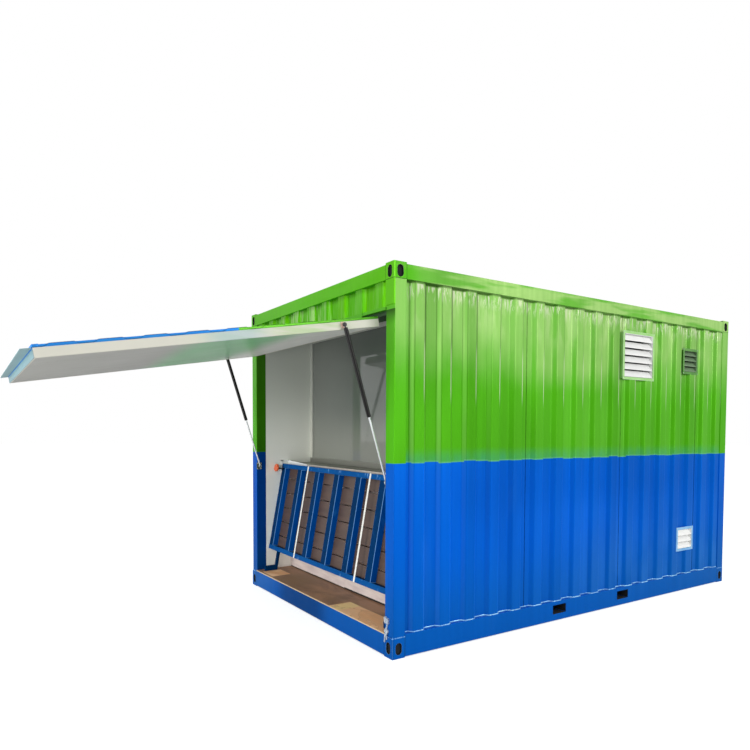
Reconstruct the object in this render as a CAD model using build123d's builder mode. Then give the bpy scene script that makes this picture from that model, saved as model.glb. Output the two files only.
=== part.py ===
from build123d import *

import os
from math import atan2, ceil, cos, degrees, hypot, radians, sin, tan

# Container shop: a 4 m steel container whose front end is a gas-strut awning flap over a
# counter, with a glass screen behind it. Millimetres, +X from the open front end to the closed
# rear end, -Y is the long side with the three louvres, +Z up, origin on the ground at mid plan.

# Driving dimensions
LENGTH = 4000
WIDTH = 2438
HEIGHT = 2591
BLOCK = 100  # plan side of a corner block, and of the post between two of them
BLOCK_WALL = 12
BOTTOM_BLOCK = 140
TOP_BLOCK = 108
SLOT_LONG = 80
SLOT_WIDE = 50
POST_WALL = 5
RAIL_WALL = 4
RAIL_WIDE = 60
TOP_RAIL = 98  # depth of the four top rails, whose tops lie below the blocks
TOP_RAIL_DROP = 11
BOTTOM_RAIL = 149
BOTTOM_RAIL_LIFT = 6  # the blocks stand this much lower than the rails
SHEET = 2

# Folded sheets of the walls, header and roof
PITCH = 228
CREST = 82
SLOPE = 28
CREST_INSET = 8  # from the container's outer face to the crests
FOLD_DEPTH = 32
WALL_FIRST_CREST = 174  # from the front face, along a long side
ROOF_PITCH = 209
ROOF_CREST = 91
ROOF_SLOPE = 14
ROOF_DEPTH = 20

# Floor, fork pockets and linings
FLOOR = 24
FLOOR_LIP = 8  # the boards are rebated over the front sill, flush with its face
CROSS_MEMBER = 100
CROSS_FLANGE = 45
POCKET_WIDE = 150
POCKET_HIGH = 70
POCKET_SPACING = 800
LINING = 50
LINING_FACE = 100  # from the container's outer face to the lining's inner face
CEILING = 2400

# Header over the opening: a shallow hollow flange with a folded sheet above it
HEADER_LOW = 2290
HEADER_FLANGE = 22
HEADER_FLANGE_DEEP = 60
HEADER_PITCH = 256
HEADER_CREST = 90
HEADER_SLOPE = 24
HEADER_DEPTH = 26
HEADER_FIRST_CREST = 153  # from the outer face of the right long side
POST_RECESS = 6  # the front posts' faces lie this far behind the faces of their blocks
END_PLATE_LOW = 2316  # the plates that close the header's ends cover the posts from here up

# Louvres on the long side: start along the side, low edge, width and height
LARGE_LOUVRE = (2352, 1947, 440, 414)
SMALL_LOUVRE = (3240, 2038, 246, 238)
LOW_LOUVRE = (3196, 379, 270, 224)
LOUVRE_FLANGE = 15
LOUVRE_FLANGE_THICK = 3  # lies on the wall's crests
LOUVRE_DUCT_WALL = 8
BLADE = 2
BLADE_SET = 6  # from the container's outer face to the blades' outer edges
BLADE_DEEP = 36
BLADE_GAP = 3  # under the lowest edge of each blade

# Awning flap, measured from its pin: d runs from the hinge to the tip, n into the thickness
PIN_OUT = 10  # the pin lies this far in front of the front face
PIN_Z = 2268
FLAP_LONG = 2088
FLAP_PANEL_LONG = 2035
FLAP_SIDE_GAP = 150  # from the container's outer face to the flap's edge
FLAP_DROOP = 9.7  # degrees below level when open
FLAP_SKIN = 17
FLAP_PANEL = 50
FLAP_NEAR = 18  # the flap starts this far from the pin
FLAP_SKIN_FACE = 11  # so that the hinge leaves lie on the first crest, tangent to the barrels
FLAP_CREST = 118
FLAP_SLOPE = 22
FLAP_RIM = 30  # width of the bars that close the ends of the skin's folds
FLAP_RIM_DROP = 6  # the side bars lie this much below the crests
EDGE_WALL = 3
PIN_RADIUS = 6
PIN_CLEARANCE = 0.05
KNUCKLE_RADIUS = 11

# Gas struts
STRUT_TOP_D = 292  # upper pivot on the flap's edge
STRUT_TOP_N = 49
STRUT_FOOT_IN = 30  # lower pivot behind the front face
STRUT_FOOT_Z = 1155
STRUT_LANE = 126  # from the container's outer face to the strut's axis
TUBE_RADIUS = 14
TUBE_LONG = 590
ROD_RADIUS = 6.5
TUBE_BORE = 6.55
EYE_RADIUS = 14
EYE_THICK = 8
TUBE_CHAMFER = 2
POST_BRACKET = (50, 66)  # along X and Z
FLAP_BRACKET = (30, 40)  # along the flap and into its thickness
BRACKET_ROUND = 5

# Counter and glass screen
COUNTER_FRONT = 352
COUNTER_TOP = 1180
COUNTER_SLAB = 25
SCREEN_FRONT = 571
SCREEN_DEEP = 30
SCREEN_BAR = 45
GLASS = 8

# Stowed deck, a ribbed frame with boards behind it that leans back against the counter's edge
DECK_FOOT_X = 117  # from the front face to the lower edge of the deck's face
DECK_FOOT_Z = 360
DECK_HIGH = 826
DECK_LEAN = 10.4
DECK_FRAME = 52
DECK_BOARD = 18
DECK_LOW_Y = 126  # from the outer face of the right long side to the deck's right end
DECK_BAYS = 6
DECK_PITCH = 352
DECK_RIB = 80
DECK_RAIL = 40
DECK_LEG_TOP = 520
DECK_LEG = 25
DECK_TOE_START = 54  # from the front face
DECK_TOE = 46
DECK_LEG_WIDE = 28
DECK_LEG_INSET = 40  # from the deck's ends
STRAP_PLACES = (700, 1757)  # from the outer face of the right long side
STRAP_WIDE = 22
STRAP = 2
KNOB_INSET = 28
KNOB_UP = 776  # up the deck's face
KNOB_STEM = 62
KNOB_STEM_RADIUS = 6
KNOB_RADIUS = 37
KNOB_THICK = 20

# Toggle latch on the foot of the right front post, which holds the closed flap. Each place is
# to the right of the latch's middle and above the ground, each turn is in degrees.
LATCH_IN = 71  # from the container's outer face to the latch's middle
LATCH = 8
CATCH_EARS = ((-12, 258), (12, 252), (12, 236), (-10, 240))
EAR_RADIUS = 13
LINK_PLACE = (2, 210)
LINK_LONG = 62
LINK_WIDE = 12
LINK_TURN = 70
LEVER_PLACE = (-4, 174)
LEVER_SIDE = 38
LEVER_ROUND = 5
LEVER_TURN = 50
HOOK_PRONGS = (((-14, 128), 62, 14, 82), ((4, 140), 40, 10, 105))  # place, long, wide, turn

# Places worked out from the driving dimensions
FRONT = -LENGTH / 2
REAR = LENGTH / 2
RIGHT = -WIDTH / 2
LEFT = WIDTH / 2
FLOOR_TOP = BOTTOM_RAIL_LIFT + BOTTOM_RAIL
HEADER_PANEL_LOW = HEADER_LOW + HEADER_FLANGE
RAIL_TOP = HEIGHT - TOP_RAIL_DROP
WALL_TOP = RAIL_TOP - TOP_RAIL
POST_LOW = BOTTOM_BLOCK
POST_TOP = HEIGHT - TOP_BLOCK
POCKET_Z = FLOOR_TOP - FLOOR - RAIL_WALL - POCKET_HIGH / 2
LINING_OUT = LINING_FACE - LINING
PIN_X = FRONT - PIN_OUT
FLAP_RIGHT = RIGHT + FLAP_SIDE_GAP
FLAP_LEFT = LEFT - FLAP_SIDE_GAP
DECK_FRONT_X = FRONT + DECK_FOOT_X
DECK_DEEP = DECK_FRAME + DECK_BOARD
DECK_WIDE = DECK_BAYS * DECK_PITCH + DECK_RIB

os.makedirs("parts", exist_ok=True)


def block(x, y, z, mode=Mode.ADD):
    """Add or cut a block between two limits on each axis."""
    middle = ((x[0] + x[1]) / 2, (y[0] + y[1]) / 2, (z[0] + z[1]) / 2)
    with Locations(middle):
        Box(x[1] - x[0], y[1] - y[0], z[1] - z[0], mode=mode)


def keep(part, label):
    """Label a finished piece and write it as its own file."""
    part.label = label
    export_step(part, "parts/" + label + ".step")
    print(label, len(part.solids()), "solids")


def fold_line(start, end, first_crest, pitch, crest, slope, high, low):
    """Corner points of one face of a folded sheet, from start to end along it."""
    corners = []
    rise = first_crest - slope - pitch * (1 + ceil((first_crest - slope - start) / pitch))
    while rise < end + pitch:
        corners += [(rise, low), (rise + slope, high)]
        corners += [(rise + slope + crest, high), (rise + 2 * slope + crest, low)]
        rise += pitch

    def level(u):
        """Height of the face at u, straight between the corners beside it."""
        for (u0, v0), (u1, v1) in zip(corners, corners[1:]):
            if u0 <= u <= u1:
                return v0 + (v1 - v0) * (u - u0) / (u1 - u0)

    inside = [c for c in corners if start + 1 < c[0] < end - 1]
    return [(start, level(start))] + inside + [(end, level(end))]


def folded_outline(start, end, first_crest, outer, inner, pitch=PITCH, crest=CREST, slope=SLOPE):
    """Closed outline of a folded sheet of even thickness: outer is the crests' outer face."""
    inward = 1 if inner > outer else -1
    bend = SHEET * tan(atan2(abs(inner - outer), slope) / 2)
    face = fold_line(start, end, first_crest, pitch, crest, slope, outer, inner)
    back_outer = outer + inward * SHEET
    back_inner = inner + inward * SHEET
    back = fold_line(
        start, end, first_crest + bend, pitch, crest - 2 * bend, slope, back_outer, back_inner
    )
    return face + back[::-1]


def outline_face(points):
    """Make the face of a closed outline in the sketch being built."""
    with BuildLine() as outline:
        Polyline(*points, close=True)
    make_face(outline.edges())


def corner_signs():
    """The four plan corners as signs of X and Y."""
    return [(-1, -1), (-1, 1), (1, -1), (1, 1)]


def corner_block(x, y, low, high, slot_z, slot_face_z):
    """Hollow cast corner block with slots in its two outer faces and its bearing face."""
    out_x = REAR if x > 0 else FRONT
    out_y = LEFT if y > 0 else RIGHT
    in_x = out_x - x * BLOCK
    in_y = out_y - y * BLOCK
    block(sorted((in_x, out_x)), sorted((in_y, out_y)), (low, high))
    wall = BLOCK_WALL
    block(
        sorted((in_x + x * wall, out_x - x * wall)),
        sorted((in_y + y * wall, out_y - y * wall)),
        (low + wall, high - wall),
        mode=Mode.SUBTRACT,
    )
    middle_x = (in_x + out_x) / 2
    middle_y = (in_y + out_y) / 2
    end_face = Plane((out_x, middle_y, slot_z), x_dir=(0, 1, 0), z_dir=(x, 0, 0))
    with BuildSketch(end_face) as end_slot:
        SlotOverall(SLOT_LONG, SLOT_WIDE, rotation=90)
    extrude(end_slot.sketch, amount=-wall, mode=Mode.SUBTRACT)
    side_face = Plane((middle_x, out_y, slot_z), x_dir=(1, 0, 0), z_dir=(0, y, 0))
    with BuildSketch(side_face) as side_slot:
        SlotOverall(SLOT_LONG, SLOT_WIDE, rotation=90)
    extrude(side_slot.sketch, amount=-wall, mode=Mode.SUBTRACT)
    up = 1 if slot_face_z == high else -1
    with BuildSketch(Plane((middle_x, middle_y, slot_face_z), z_dir=(0, 0, up))) as face_slot:
        SlotOverall(SLOT_LONG, SLOT_WIDE)
    extrude(face_slot.sketch, amount=-wall, mode=Mode.SUBTRACT)


# Corner blocks
with BuildPart() as bottom_corner_blocks:
    for x, y in corner_signs():
        corner_block(x, y, 0, BOTTOM_BLOCK, 66, 0)
keep(bottom_corner_blocks.part, "bottom_corner_blocks")

with BuildPart() as top_corner_blocks:
    for x, y in corner_signs():
        corner_block(x, y, POST_TOP, HEIGHT, HEIGHT - 59, HEIGHT)
keep(top_corner_blocks.part, "top_corner_blocks")


def post(x, y, recess):
    """Hollow corner post between its two blocks, its end face set back by the recess."""
    deep = BLOCK - recess
    middle_x = x * (REAR - BLOCK + deep / 2)
    middle_y = y * (LEFT - BLOCK / 2)
    with BuildSketch(Plane.XY.offset(POST_LOW)) as section:
        with Locations((middle_x, middle_y)):
            Rectangle(deep, BLOCK)
            Rectangle(deep - 2 * POST_WALL, BLOCK - 2 * POST_WALL, mode=Mode.SUBTRACT)
    extrude(section.sketch, amount=POST_TOP - POST_LOW)


# Corner posts: the front ones carry the plates that close the ends of the header
for label, x, y in (
    ("front_right_post", -1, -1),
    ("front_left_post", -1, 1),
    ("rear_right_post", 1, -1),
    ("rear_left_post", 1, 1),
):
    with BuildPart() as corner_post:
        if x < 0:
            post(x, y, POST_RECESS)
            plate_y = sorted((y * LEFT, y * (LEFT - BLOCK)))
            block((FRONT, FRONT + POST_RECESS), plate_y, (END_PLATE_LOW, POST_TOP))
        else:
            post(x, y, 0)
    keep(corner_post.part, label)

# Top rails: hollow bars between the top blocks
for label, side in (("right_top_rail", -1), ("left_top_rail", 1)):
    with BuildPart() as top_rail:
        with BuildSketch(Plane.YZ.offset(FRONT + BLOCK)):
            with Locations((side * (LEFT - RAIL_WIDE / 2), RAIL_TOP - TOP_RAIL / 2)):
                Rectangle(RAIL_WIDE, TOP_RAIL)
                Rectangle(RAIL_WIDE - 2 * RAIL_WALL, TOP_RAIL - 2 * RAIL_WALL, mode=Mode.SUBTRACT)
        extrude(amount=LENGTH - 2 * BLOCK)
    keep(top_rail.part, label)

for label, end in (("front_top_rail", -1), ("rear_top_rail", 1)):
    with BuildPart() as cross_rail:
        with BuildSketch(Plane.XZ.offset(-(WIDTH / 2 - BLOCK))):
            with Locations((end * (REAR - RAIL_WIDE / 2), RAIL_TOP - TOP_RAIL / 2)):
                Rectangle(RAIL_WIDE, TOP_RAIL)
                Rectangle(RAIL_WIDE - 2 * RAIL_WALL, TOP_RAIL - 2 * RAIL_WALL, mode=Mode.SUBTRACT)
        extrude(amount=WIDTH - 2 * BLOCK)
    keep(cross_rail.part, label)


def channel_points(out, side, deep, high=FLOOR_TOP):
    """Channel section open towards the inside, its web on the outer face."""
    back = out - side * deep
    web = out - side * RAIL_WALL
    low = BOTTOM_RAIL_LIFT
    return [
        (out, low),
        (out, high),
        (back, high),
        (back, high - RAIL_WALL),
        (web, high - RAIL_WALL),
        (web, low + RAIL_WALL),
        (back, low + RAIL_WALL),
        (back, low),
    ]


def pocket_centres():
    """Middles of the two fork pockets along X."""
    return (-POCKET_SPACING / 2, POCKET_SPACING / 2)


# Bottom side rails: channels with the fork pockets cut through their webs
for label, side in (("right_bottom_rail", -1), ("left_bottom_rail", 1)):
    with BuildPart() as bottom_rail:
        with BuildSketch(Plane.YZ.offset(FRONT + BLOCK)):
            outline_face(channel_points(side * LEFT, side, RAIL_WIDE))
        extrude(amount=LENGTH - 2 * BLOCK)
        for centre in pocket_centres():
            half = POCKET_WIDE / 2 + RAIL_WALL
            tall = POCKET_HIGH / 2 + RAIL_WALL
            block(
                (centre - half, centre + half),
                sorted((side * LEFT, side * (LEFT - RAIL_WIDE))),
                (POCKET_Z - tall, POCKET_Z + tall),
                mode=Mode.SUBTRACT,
            )
    keep(bottom_rail.part, label)

# End rails: the front sill is lower, and carries the edge of the floor boards
for label, end, high in (
    ("front_sill", -1, FLOOR_TOP - FLOOR_LIP),
    ("rear_bottom_rail", 1, FLOOR_TOP),
):
    with BuildPart() as cross_sill:
        with BuildSketch(Plane.XZ.offset(-(WIDTH / 2 - BLOCK))):
            outline_face(channel_points(end * REAR, end, RAIL_WIDE, high))
        extrude(amount=WIDTH - 2 * BLOCK)
    keep(cross_sill.part, label)

# Fork pockets: two rectangular tubes right across the container
with BuildPart() as fork_pockets:
    for centre in pocket_centres():
        with BuildSketch(Plane.XZ.offset(-WIDTH / 2)):
            with Locations((centre, POCKET_Z)):
                Rectangle(POCKET_WIDE + 2 * RAIL_WALL, POCKET_HIGH + 2 * RAIL_WALL)
                Rectangle(POCKET_WIDE, POCKET_HIGH, mode=Mode.SUBTRACT)
        extrude(amount=WIDTH)
keep(fork_pockets.part, "fork_pockets")


def cross_member_places():
    """X places of the floor's cross-members, clear of the fork pockets."""
    return (-1650, -1300, -950, -620, -180, 180, 620, 950, 1300, 1650)


# Floor cross-members: channels between the side rails' webs
with BuildPart() as floor_cross_members:
    low = FLOOR_TOP - FLOOR - CROSS_MEMBER
    high = FLOOR_TOP - FLOOR
    for x in cross_member_places():
        web = x + RAIL_WALL
        tip = x + CROSS_FLANGE
        with BuildSketch(Plane.XZ.offset(-(WIDTH / 2 - RAIL_WALL))):
            outline_face(
                [
                    (x, low),
                    (x, high),
                    (tip, high),
                    (tip, high - RAIL_WALL),
                    (web, high - RAIL_WALL),
                    (web, low + RAIL_WALL),
                    (tip, low + RAIL_WALL),
                    (tip, low),
                ]
            )
        extrude(amount=WIDTH - 2 * RAIL_WALL)
keep(floor_cross_members.part, "floor_cross_members")

# Floor: one level of boards inside the rails, with a thin lip over the front sill
with BuildPart() as floor_boards:
    block(
        (FRONT + RAIL_WIDE, REAR - RAIL_WIDE),
        (RIGHT + RAIL_WIDE, LEFT - RAIL_WIDE),
        (FLOOR_TOP - FLOOR, FLOOR_TOP),
    )
    for x, y in corner_signs():
        corner_x = sorted((x * (REAR - RAIL_WIDE), x * (REAR - BLOCK)))
        corner_y = sorted((y * (LEFT - RAIL_WIDE), y * (LEFT - BLOCK)))
        block(corner_x, corner_y, (FLOOR_TOP - FLOOR, FLOOR_TOP), mode=Mode.SUBTRACT)
    block(
        (FRONT, FRONT + RAIL_WIDE),
        (RIGHT + BLOCK, LEFT - BLOCK),
        (FLOOR_TOP - FLOOR_LIP, FLOOR_TOP),
    )
keep(floor_boards.part, "floor_boards")


def side_wall(side):
    """Folded sheet wall of one long side, between the posts and the rails."""
    outer = side * (LEFT - CREST_INSET)
    inner = side * (LEFT - CREST_INSET - FOLD_DEPTH)
    with BuildSketch(Plane.XY.offset(FLOOR_TOP)) as section:
        outline_face(
            folded_outline(FRONT + BLOCK, REAR - BLOCK, FRONT + WALL_FIRST_CREST, outer, inner)
        )
    extrude(section.sketch, amount=WALL_TOP - FLOOR_TOP)


def louvre_limits(louvre, inset=0):
    """X and Z limits of a louvre, drawn in from its outer edge."""
    start, low, wide, high = louvre
    x = (FRONT + start + inset, FRONT + start + wide - inset)
    z = (low + inset, low + high - inset)
    return x, z


def cut_louvres(y):
    """Cut the three louvre openings through the wall or lining being built."""
    for louvre in (LARGE_LOUVRE, SMALL_LOUVRE, LOW_LOUVRE):
        x, z = louvre_limits(louvre, LOUVRE_FLANGE)
        block(x, y, z, mode=Mode.SUBTRACT)


# Long side walls
with BuildPart() as right_wall:
    side_wall(-1)
    cut_louvres((RIGHT, RIGHT + LINING_FACE))
keep(right_wall.part, "right_wall")

with BuildPart() as left_wall:
    side_wall(1)
keep(left_wall.part, "left_wall")

# Rear wall
with BuildPart() as rear_wall:
    outer = REAR - CREST_INSET
    with BuildSketch(Plane.XY.offset(FLOOR_TOP)):
        outline = folded_outline(
            RIGHT + BLOCK, LEFT - BLOCK, -CREST / 2, outer, outer - FOLD_DEPTH
        )
        outline_face([(v, u) for u, v in outline])
    extrude(amount=WALL_TOP - FLOOR_TOP)
keep(rear_wall.part, "rear_wall")

# Header: a hollow flange over the opening and a folded sheet between it and the top rail
with BuildPart() as header_beam:
    with BuildSketch(Plane.XZ.offset(-(WIDTH / 2 - BLOCK))):
        with Locations((FRONT + HEADER_FLANGE_DEEP / 2, HEADER_LOW + HEADER_FLANGE / 2)):
            Rectangle(HEADER_FLANGE_DEEP, HEADER_FLANGE)
            Rectangle(
                HEADER_FLANGE_DEEP - 2 * RAIL_WALL,
                HEADER_FLANGE - 2 * RAIL_WALL,
                mode=Mode.SUBTRACT,
            )
    extrude(amount=WIDTH - 2 * BLOCK)
keep(header_beam.part, "header_beam")

with BuildPart() as header_panel:
    outer = FRONT + CREST_INSET
    with BuildSketch(Plane.XY.offset(HEADER_PANEL_LOW)):
        outline = folded_outline(
            RIGHT + BLOCK,
            LEFT - BLOCK,
            RIGHT + HEADER_FIRST_CREST,
            outer,
            outer + HEADER_DEPTH,
            HEADER_PITCH,
            HEADER_CREST,
            HEADER_SLOPE,
        )
        outline_face([(v, u) for u, v in outline])
    extrude(amount=WALL_TOP - HEADER_PANEL_LOW)
keep(header_panel.part, "header_panel")

# Roof: a sheet with folds across the container, between the four top rails
with BuildPart() as roof:
    with BuildSketch(Plane.XZ.offset(-(WIDTH / 2 - RAIL_WIDE))):
        outline_face(
            folded_outline(
                FRONT + BLOCK,
                REAR - BLOCK,
                -ROOF_CREST / 2,
                RAIL_TOP,
                RAIL_TOP - ROOF_DEPTH,
                ROOF_PITCH,
                ROOF_CREST,
                ROOF_SLOPE,
            )
        )
    extrude(amount=WIDTH - 2 * RAIL_WIDE)
    for end in (-1, 1):
        block(
            sorted((end * (REAR - BLOCK), end * (REAR - RAIL_WIDE))),
            (RIGHT + BLOCK, LEFT - BLOCK),
            (RAIL_TOP - SHEET, RAIL_TOP),
        )
keep(roof.part, "roof")

# Linings: sandwich panels on the walls and ceiling
REAR_LINING_FACE = REAR - LINING_FACE
with BuildPart() as right_lining:
    lining_y = (RIGHT + LINING_OUT, RIGHT + LINING_FACE)
    block((FRONT + BLOCK, REAR - BLOCK), lining_y, (FLOOR_TOP, CEILING + LINING))
    cut_louvres((RIGHT, RIGHT + LINING_FACE + 1))
keep(right_lining.part, "right_lining")

with BuildPart() as left_lining:
    lining_y = (LEFT - LINING_FACE, LEFT - LINING_OUT)
    block((FRONT + BLOCK, REAR - BLOCK), lining_y, (FLOOR_TOP, CEILING + LINING))
keep(left_lining.part, "left_lining")

with BuildPart() as rear_lining:
    block(
        (REAR_LINING_FACE, REAR_LINING_FACE + LINING),
        (RIGHT + BLOCK, LEFT - BLOCK),
        (FLOOR_TOP, CEILING + LINING),
    )
keep(rear_lining.part, "rear_lining")

with BuildPart() as ceiling_lining:
    block(
        (FRONT + BLOCK, REAR_LINING_FACE),
        (RIGHT + LINING_FACE, LEFT - LINING_FACE),
        (CEILING, CEILING + LINING),
    )
keep(ceiling_lining.part, "ceiling_lining")


def louvre(limits, blades, blade_rise):
    """Louvre: a flange on the wall, a duct through it and blades that shed rain outwards."""
    flange_x, flange_z = louvre_limits(limits)
    duct_x, duct_z = louvre_limits(limits, LOUVRE_FLANGE)
    clear_x, clear_z = louvre_limits(limits, LOUVRE_FLANGE + LOUVRE_DUCT_WALL)
    flange_face = RIGHT + CREST_INSET - LOUVRE_FLANGE_THICK
    duct_y = (flange_face, RIGHT + LINING_FACE)
    block(flange_x, (flange_face, RIGHT + CREST_INSET), flange_z)
    block(duct_x, duct_y, duct_z)
    block(clear_x, duct_y, clear_z, mode=Mode.SUBTRACT)
    spacing = (clear_z[1] - clear_z[0]) / blades
    outer = RIGHT + BLADE_SET
    with BuildSketch(Plane.YZ.offset(clear_x[0])) as blade_sections:
        for n in range(blades):
            low = clear_z[0] + n * spacing + BLADE_GAP
            high = low + blade_rise
            outline_face(
                [
                    (outer, low),
                    (outer + BLADE, low),
                    (outer + BLADE + BLADE_DEEP, high),
                    (outer + BLADE_DEEP, high),
                ]
            )
    extrude(blade_sections.sketch, amount=clear_x[1] - clear_x[0])


# Louvres
with BuildPart() as large_louvre:
    louvre(LARGE_LOUVRE, 6, 56)
keep(large_louvre.part, "large_louvre")

with BuildPart() as small_louvre:
    louvre(SMALL_LOUVRE, 4, 44)
keep(small_louvre.part, "small_louvre")

with BuildPart() as low_louvre:
    louvre(LOW_LOUVRE, 3, 56)
keep(low_louvre.part, "low_louvre")

# Glass screen across the shop, from floor to ceiling, with a solid foot below the counter top
SCREEN_X = FRONT + SCREEN_FRONT
SCREEN_BACK = SCREEN_X + SCREEN_DEEP
SCREEN_Y = (RIGHT + LINING_FACE, LEFT - LINING_FACE)
GLASS_LOW = COUNTER_TOP + SCREEN_BAR
GLASS_TOP = CEILING - SCREEN_BAR
with BuildPart() as screen_frame:
    block((SCREEN_X, SCREEN_BACK), SCREEN_Y, (FLOOR_TOP, CEILING))
    block(
        (SCREEN_X, SCREEN_BACK),
        (SCREEN_Y[0] + SCREEN_BAR, SCREEN_Y[1] - SCREEN_BAR),
        (GLASS_LOW, GLASS_TOP),
        mode=Mode.SUBTRACT,
    )
keep(screen_frame.part, "screen_frame")

with BuildPart() as screen_glass:
    middle = (SCREEN_X + SCREEN_BACK) / 2
    block(
        (middle - GLASS / 2, middle + GLASS / 2),
        (SCREEN_Y[0] + SCREEN_BAR, SCREEN_Y[1] - SCREEN_BAR),
        (GLASS_LOW, GLASS_TOP),
    )
keep(screen_glass.part, "screen_glass")

# The stowed deck leans back. On its face u runs towards -Y and v up the lean, and the face's
# normal points out of the shop.
LEAN = radians(DECK_LEAN)
DECK_FACE = Plane(
    (DECK_FRONT_X, RIGHT + DECK_LOW_Y, DECK_FOOT_Z),
    x_dir=(0, -1, 0),
    z_dir=(-cos(LEAN), 0, sin(LEAN)),
)


def deck_x(z, behind):
    """X at a height, on the plane that lies this far behind the deck's face."""
    return DECK_FRONT_X + (z - DECK_FOOT_Z) * tan(LEAN) + behind / cos(LEAN)


# Counter: a front panel, and a slab from the screen to the edge that the deck leans against
DECK_BACK_TOP_X = DECK_FRONT_X + DECK_HIGH * sin(LEAN) + DECK_DEEP * cos(LEAN)
with BuildPart() as counter_front:
    block(
        (FRONT + COUNTER_FRONT, FRONT + COUNTER_FRONT + COUNTER_SLAB),
        SCREEN_Y,
        (FLOOR_TOP, COUNTER_TOP - COUNTER_SLAB),
    )
keep(counter_front.part, "counter_front")

with BuildPart() as counter_top:
    block((DECK_BACK_TOP_X, SCREEN_X), SCREEN_Y, (COUNTER_TOP - COUNTER_SLAB, COUNTER_TOP))
keep(counter_top.part, "counter_top")

with BuildPart() as deck_frame:
    with BuildSketch(DECK_FACE):
        with Locations((-DECK_WIDE / 2, DECK_HIGH / 2)):
            Rectangle(DECK_WIDE, DECK_HIGH)
        for bay in range(DECK_BAYS):
            middle = DECK_RIB + bay * DECK_PITCH + (DECK_PITCH - DECK_RIB) / 2
            with Locations((-middle, DECK_HIGH / 2)):
                Rectangle(DECK_PITCH - DECK_RIB, DECK_HIGH - 2 * DECK_RAIL, mode=Mode.SUBTRACT)
    extrude(amount=-DECK_FRAME)
keep(deck_frame.part, "deck_frame")

with BuildPart() as deck_boards:
    with BuildSketch(DECK_FACE.offset(-DECK_FRAME)):
        with Locations((-DECK_WIDE / 2, DECK_HIGH / 2)):
            Rectangle(DECK_WIDE, DECK_HIGH)
    extrude(amount=-DECK_BOARD)
keep(deck_boards.part, "deck_boards")

# Deck feet: legs behind the boards down to the floor, each with a toe towards the sill
with BuildPart() as deck_feet:
    for foot_y in (DECK_LEG_INSET, DECK_WIDE - DECK_LEG_INSET - DECK_LEG_WIDE):
        high_y = RIGHT + DECK_LOW_Y + foot_y + DECK_LEG_WIDE
        toe_top = FLOOR_TOP + DECK_TOE
        with BuildSketch(Plane.XZ.offset(-high_y)):
            outline_face(
                [
                    (FRONT + DECK_TOE_START, FLOOR_TOP),
                    (FRONT + DECK_TOE_START, toe_top),
                    (deck_x(toe_top, DECK_DEEP), toe_top),
                    (deck_x(DECK_LEG_TOP, DECK_DEEP), DECK_LEG_TOP),
                    (deck_x(DECK_LEG_TOP, DECK_DEEP + DECK_LEG), DECK_LEG_TOP),
                    (deck_x(FLOOR_TOP, DECK_DEEP + DECK_LEG), FLOOR_TOP),
                ]
            )
        extrude(amount=DECK_LEG_WIDE)
keep(deck_feet.part, "deck_feet")

# Straps that tie the deck up: down its face, with their ends turned over its two long edges
with BuildPart() as deck_straps:
    for place in STRAP_PLACES:
        low_y = RIGHT + place - STRAP_WIDE / 2
        with BuildSketch(Plane.XZ.offset(-low_y)) as strap_line:
            with Locations(Location((DECK_FRONT_X, DECK_FOOT_Z), -DECK_LEAN)):
                with Locations((-STRAP / 2, DECK_HIGH / 2)):
                    Rectangle(STRAP, DECK_HIGH + 2 * STRAP)
                for v in (-STRAP / 2, DECK_HIGH + STRAP / 2):
                    with Locations((DECK_FRAME / 2, v)):
                        Rectangle(DECK_FRAME, STRAP)
        extrude(strap_line.sketch, amount=-STRAP_WIDE)
keep(deck_straps.part, "deck_straps")

# Clamp knob on the deck's left end, a thick disc on a stem
with BuildPart() as deck_knob:
    with BuildSketch(DECK_FACE) as stem:
        with Locations((-(DECK_WIDE - KNOB_INSET), KNOB_UP)):
            Circle(KNOB_STEM_RADIUS)
    extrude(stem.sketch, amount=KNOB_STEM)
    with BuildSketch(DECK_FACE.offset(KNOB_STEM)) as disc:
        with Locations((-(DECK_WIDE - KNOB_INSET), KNOB_UP)):
            Circle(KNOB_RADIUS)
    extrude(disc.sketch, amount=KNOB_THICK)
    chamfer(deck_knob.edges().filter_by(GeomType.CIRCLE).sort_by(Axis.X)[0], KNOB_THICK / 4)
keep(deck_knob.part, "deck_knob")

# Toggle latch on the right front post: a catch of four rounded ears, a link, a lever and, over
# the corner block, a forked hook. On its face u runs towards -Y and v is the height.
LATCH_FACE = Plane(
    (FRONT + POST_RECESS, RIGHT + LATCH_IN, 0), x_dir=(0, -1, 0), z_dir=(-1, 0, 0)
)
with BuildPart() as flap_latch:
    with BuildSketch(LATCH_FACE) as catch:
        with Locations(*CATCH_EARS):
            Circle(EAR_RADIUS)
    extrude(catch.sketch, amount=LATCH + 4)
    with BuildSketch(LATCH_FACE) as link:
        with Locations(LINK_PLACE):
            SlotOverall(LINK_LONG, LINK_WIDE, rotation=LINK_TURN)
    extrude(link.sketch, amount=LATCH - 2)
    with BuildSketch(LATCH_FACE) as lever:
        with Locations(LEVER_PLACE):
            RectangleRounded(LEVER_SIDE, LEVER_SIDE, LEVER_ROUND, rotation=LEVER_TURN)
    extrude(lever.sketch, amount=LATCH)
    with BuildSketch(LATCH_FACE.offset(POST_RECESS)) as hook:
        for place, long, wide, turn in HOOK_PRONGS:
            with Locations(place):
                SlotOverall(long, wide, rotation=turn)
    extrude(hook.sketch, amount=LATCH - 2)
keep(flap_latch.part, "flap_latch")

# The flap is drawn in its own plane: origin on the pin, x towards the tip, y out of the thickness
DROOP = radians(FLAP_DROOP)
FLAP_PLANE = Plane(
    (PIN_X, FLAP_LEFT, PIN_Z),
    x_dir=(-cos(DROOP), 0, -sin(DROOP)),
    z_dir=(0, -1, 0),
)


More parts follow.
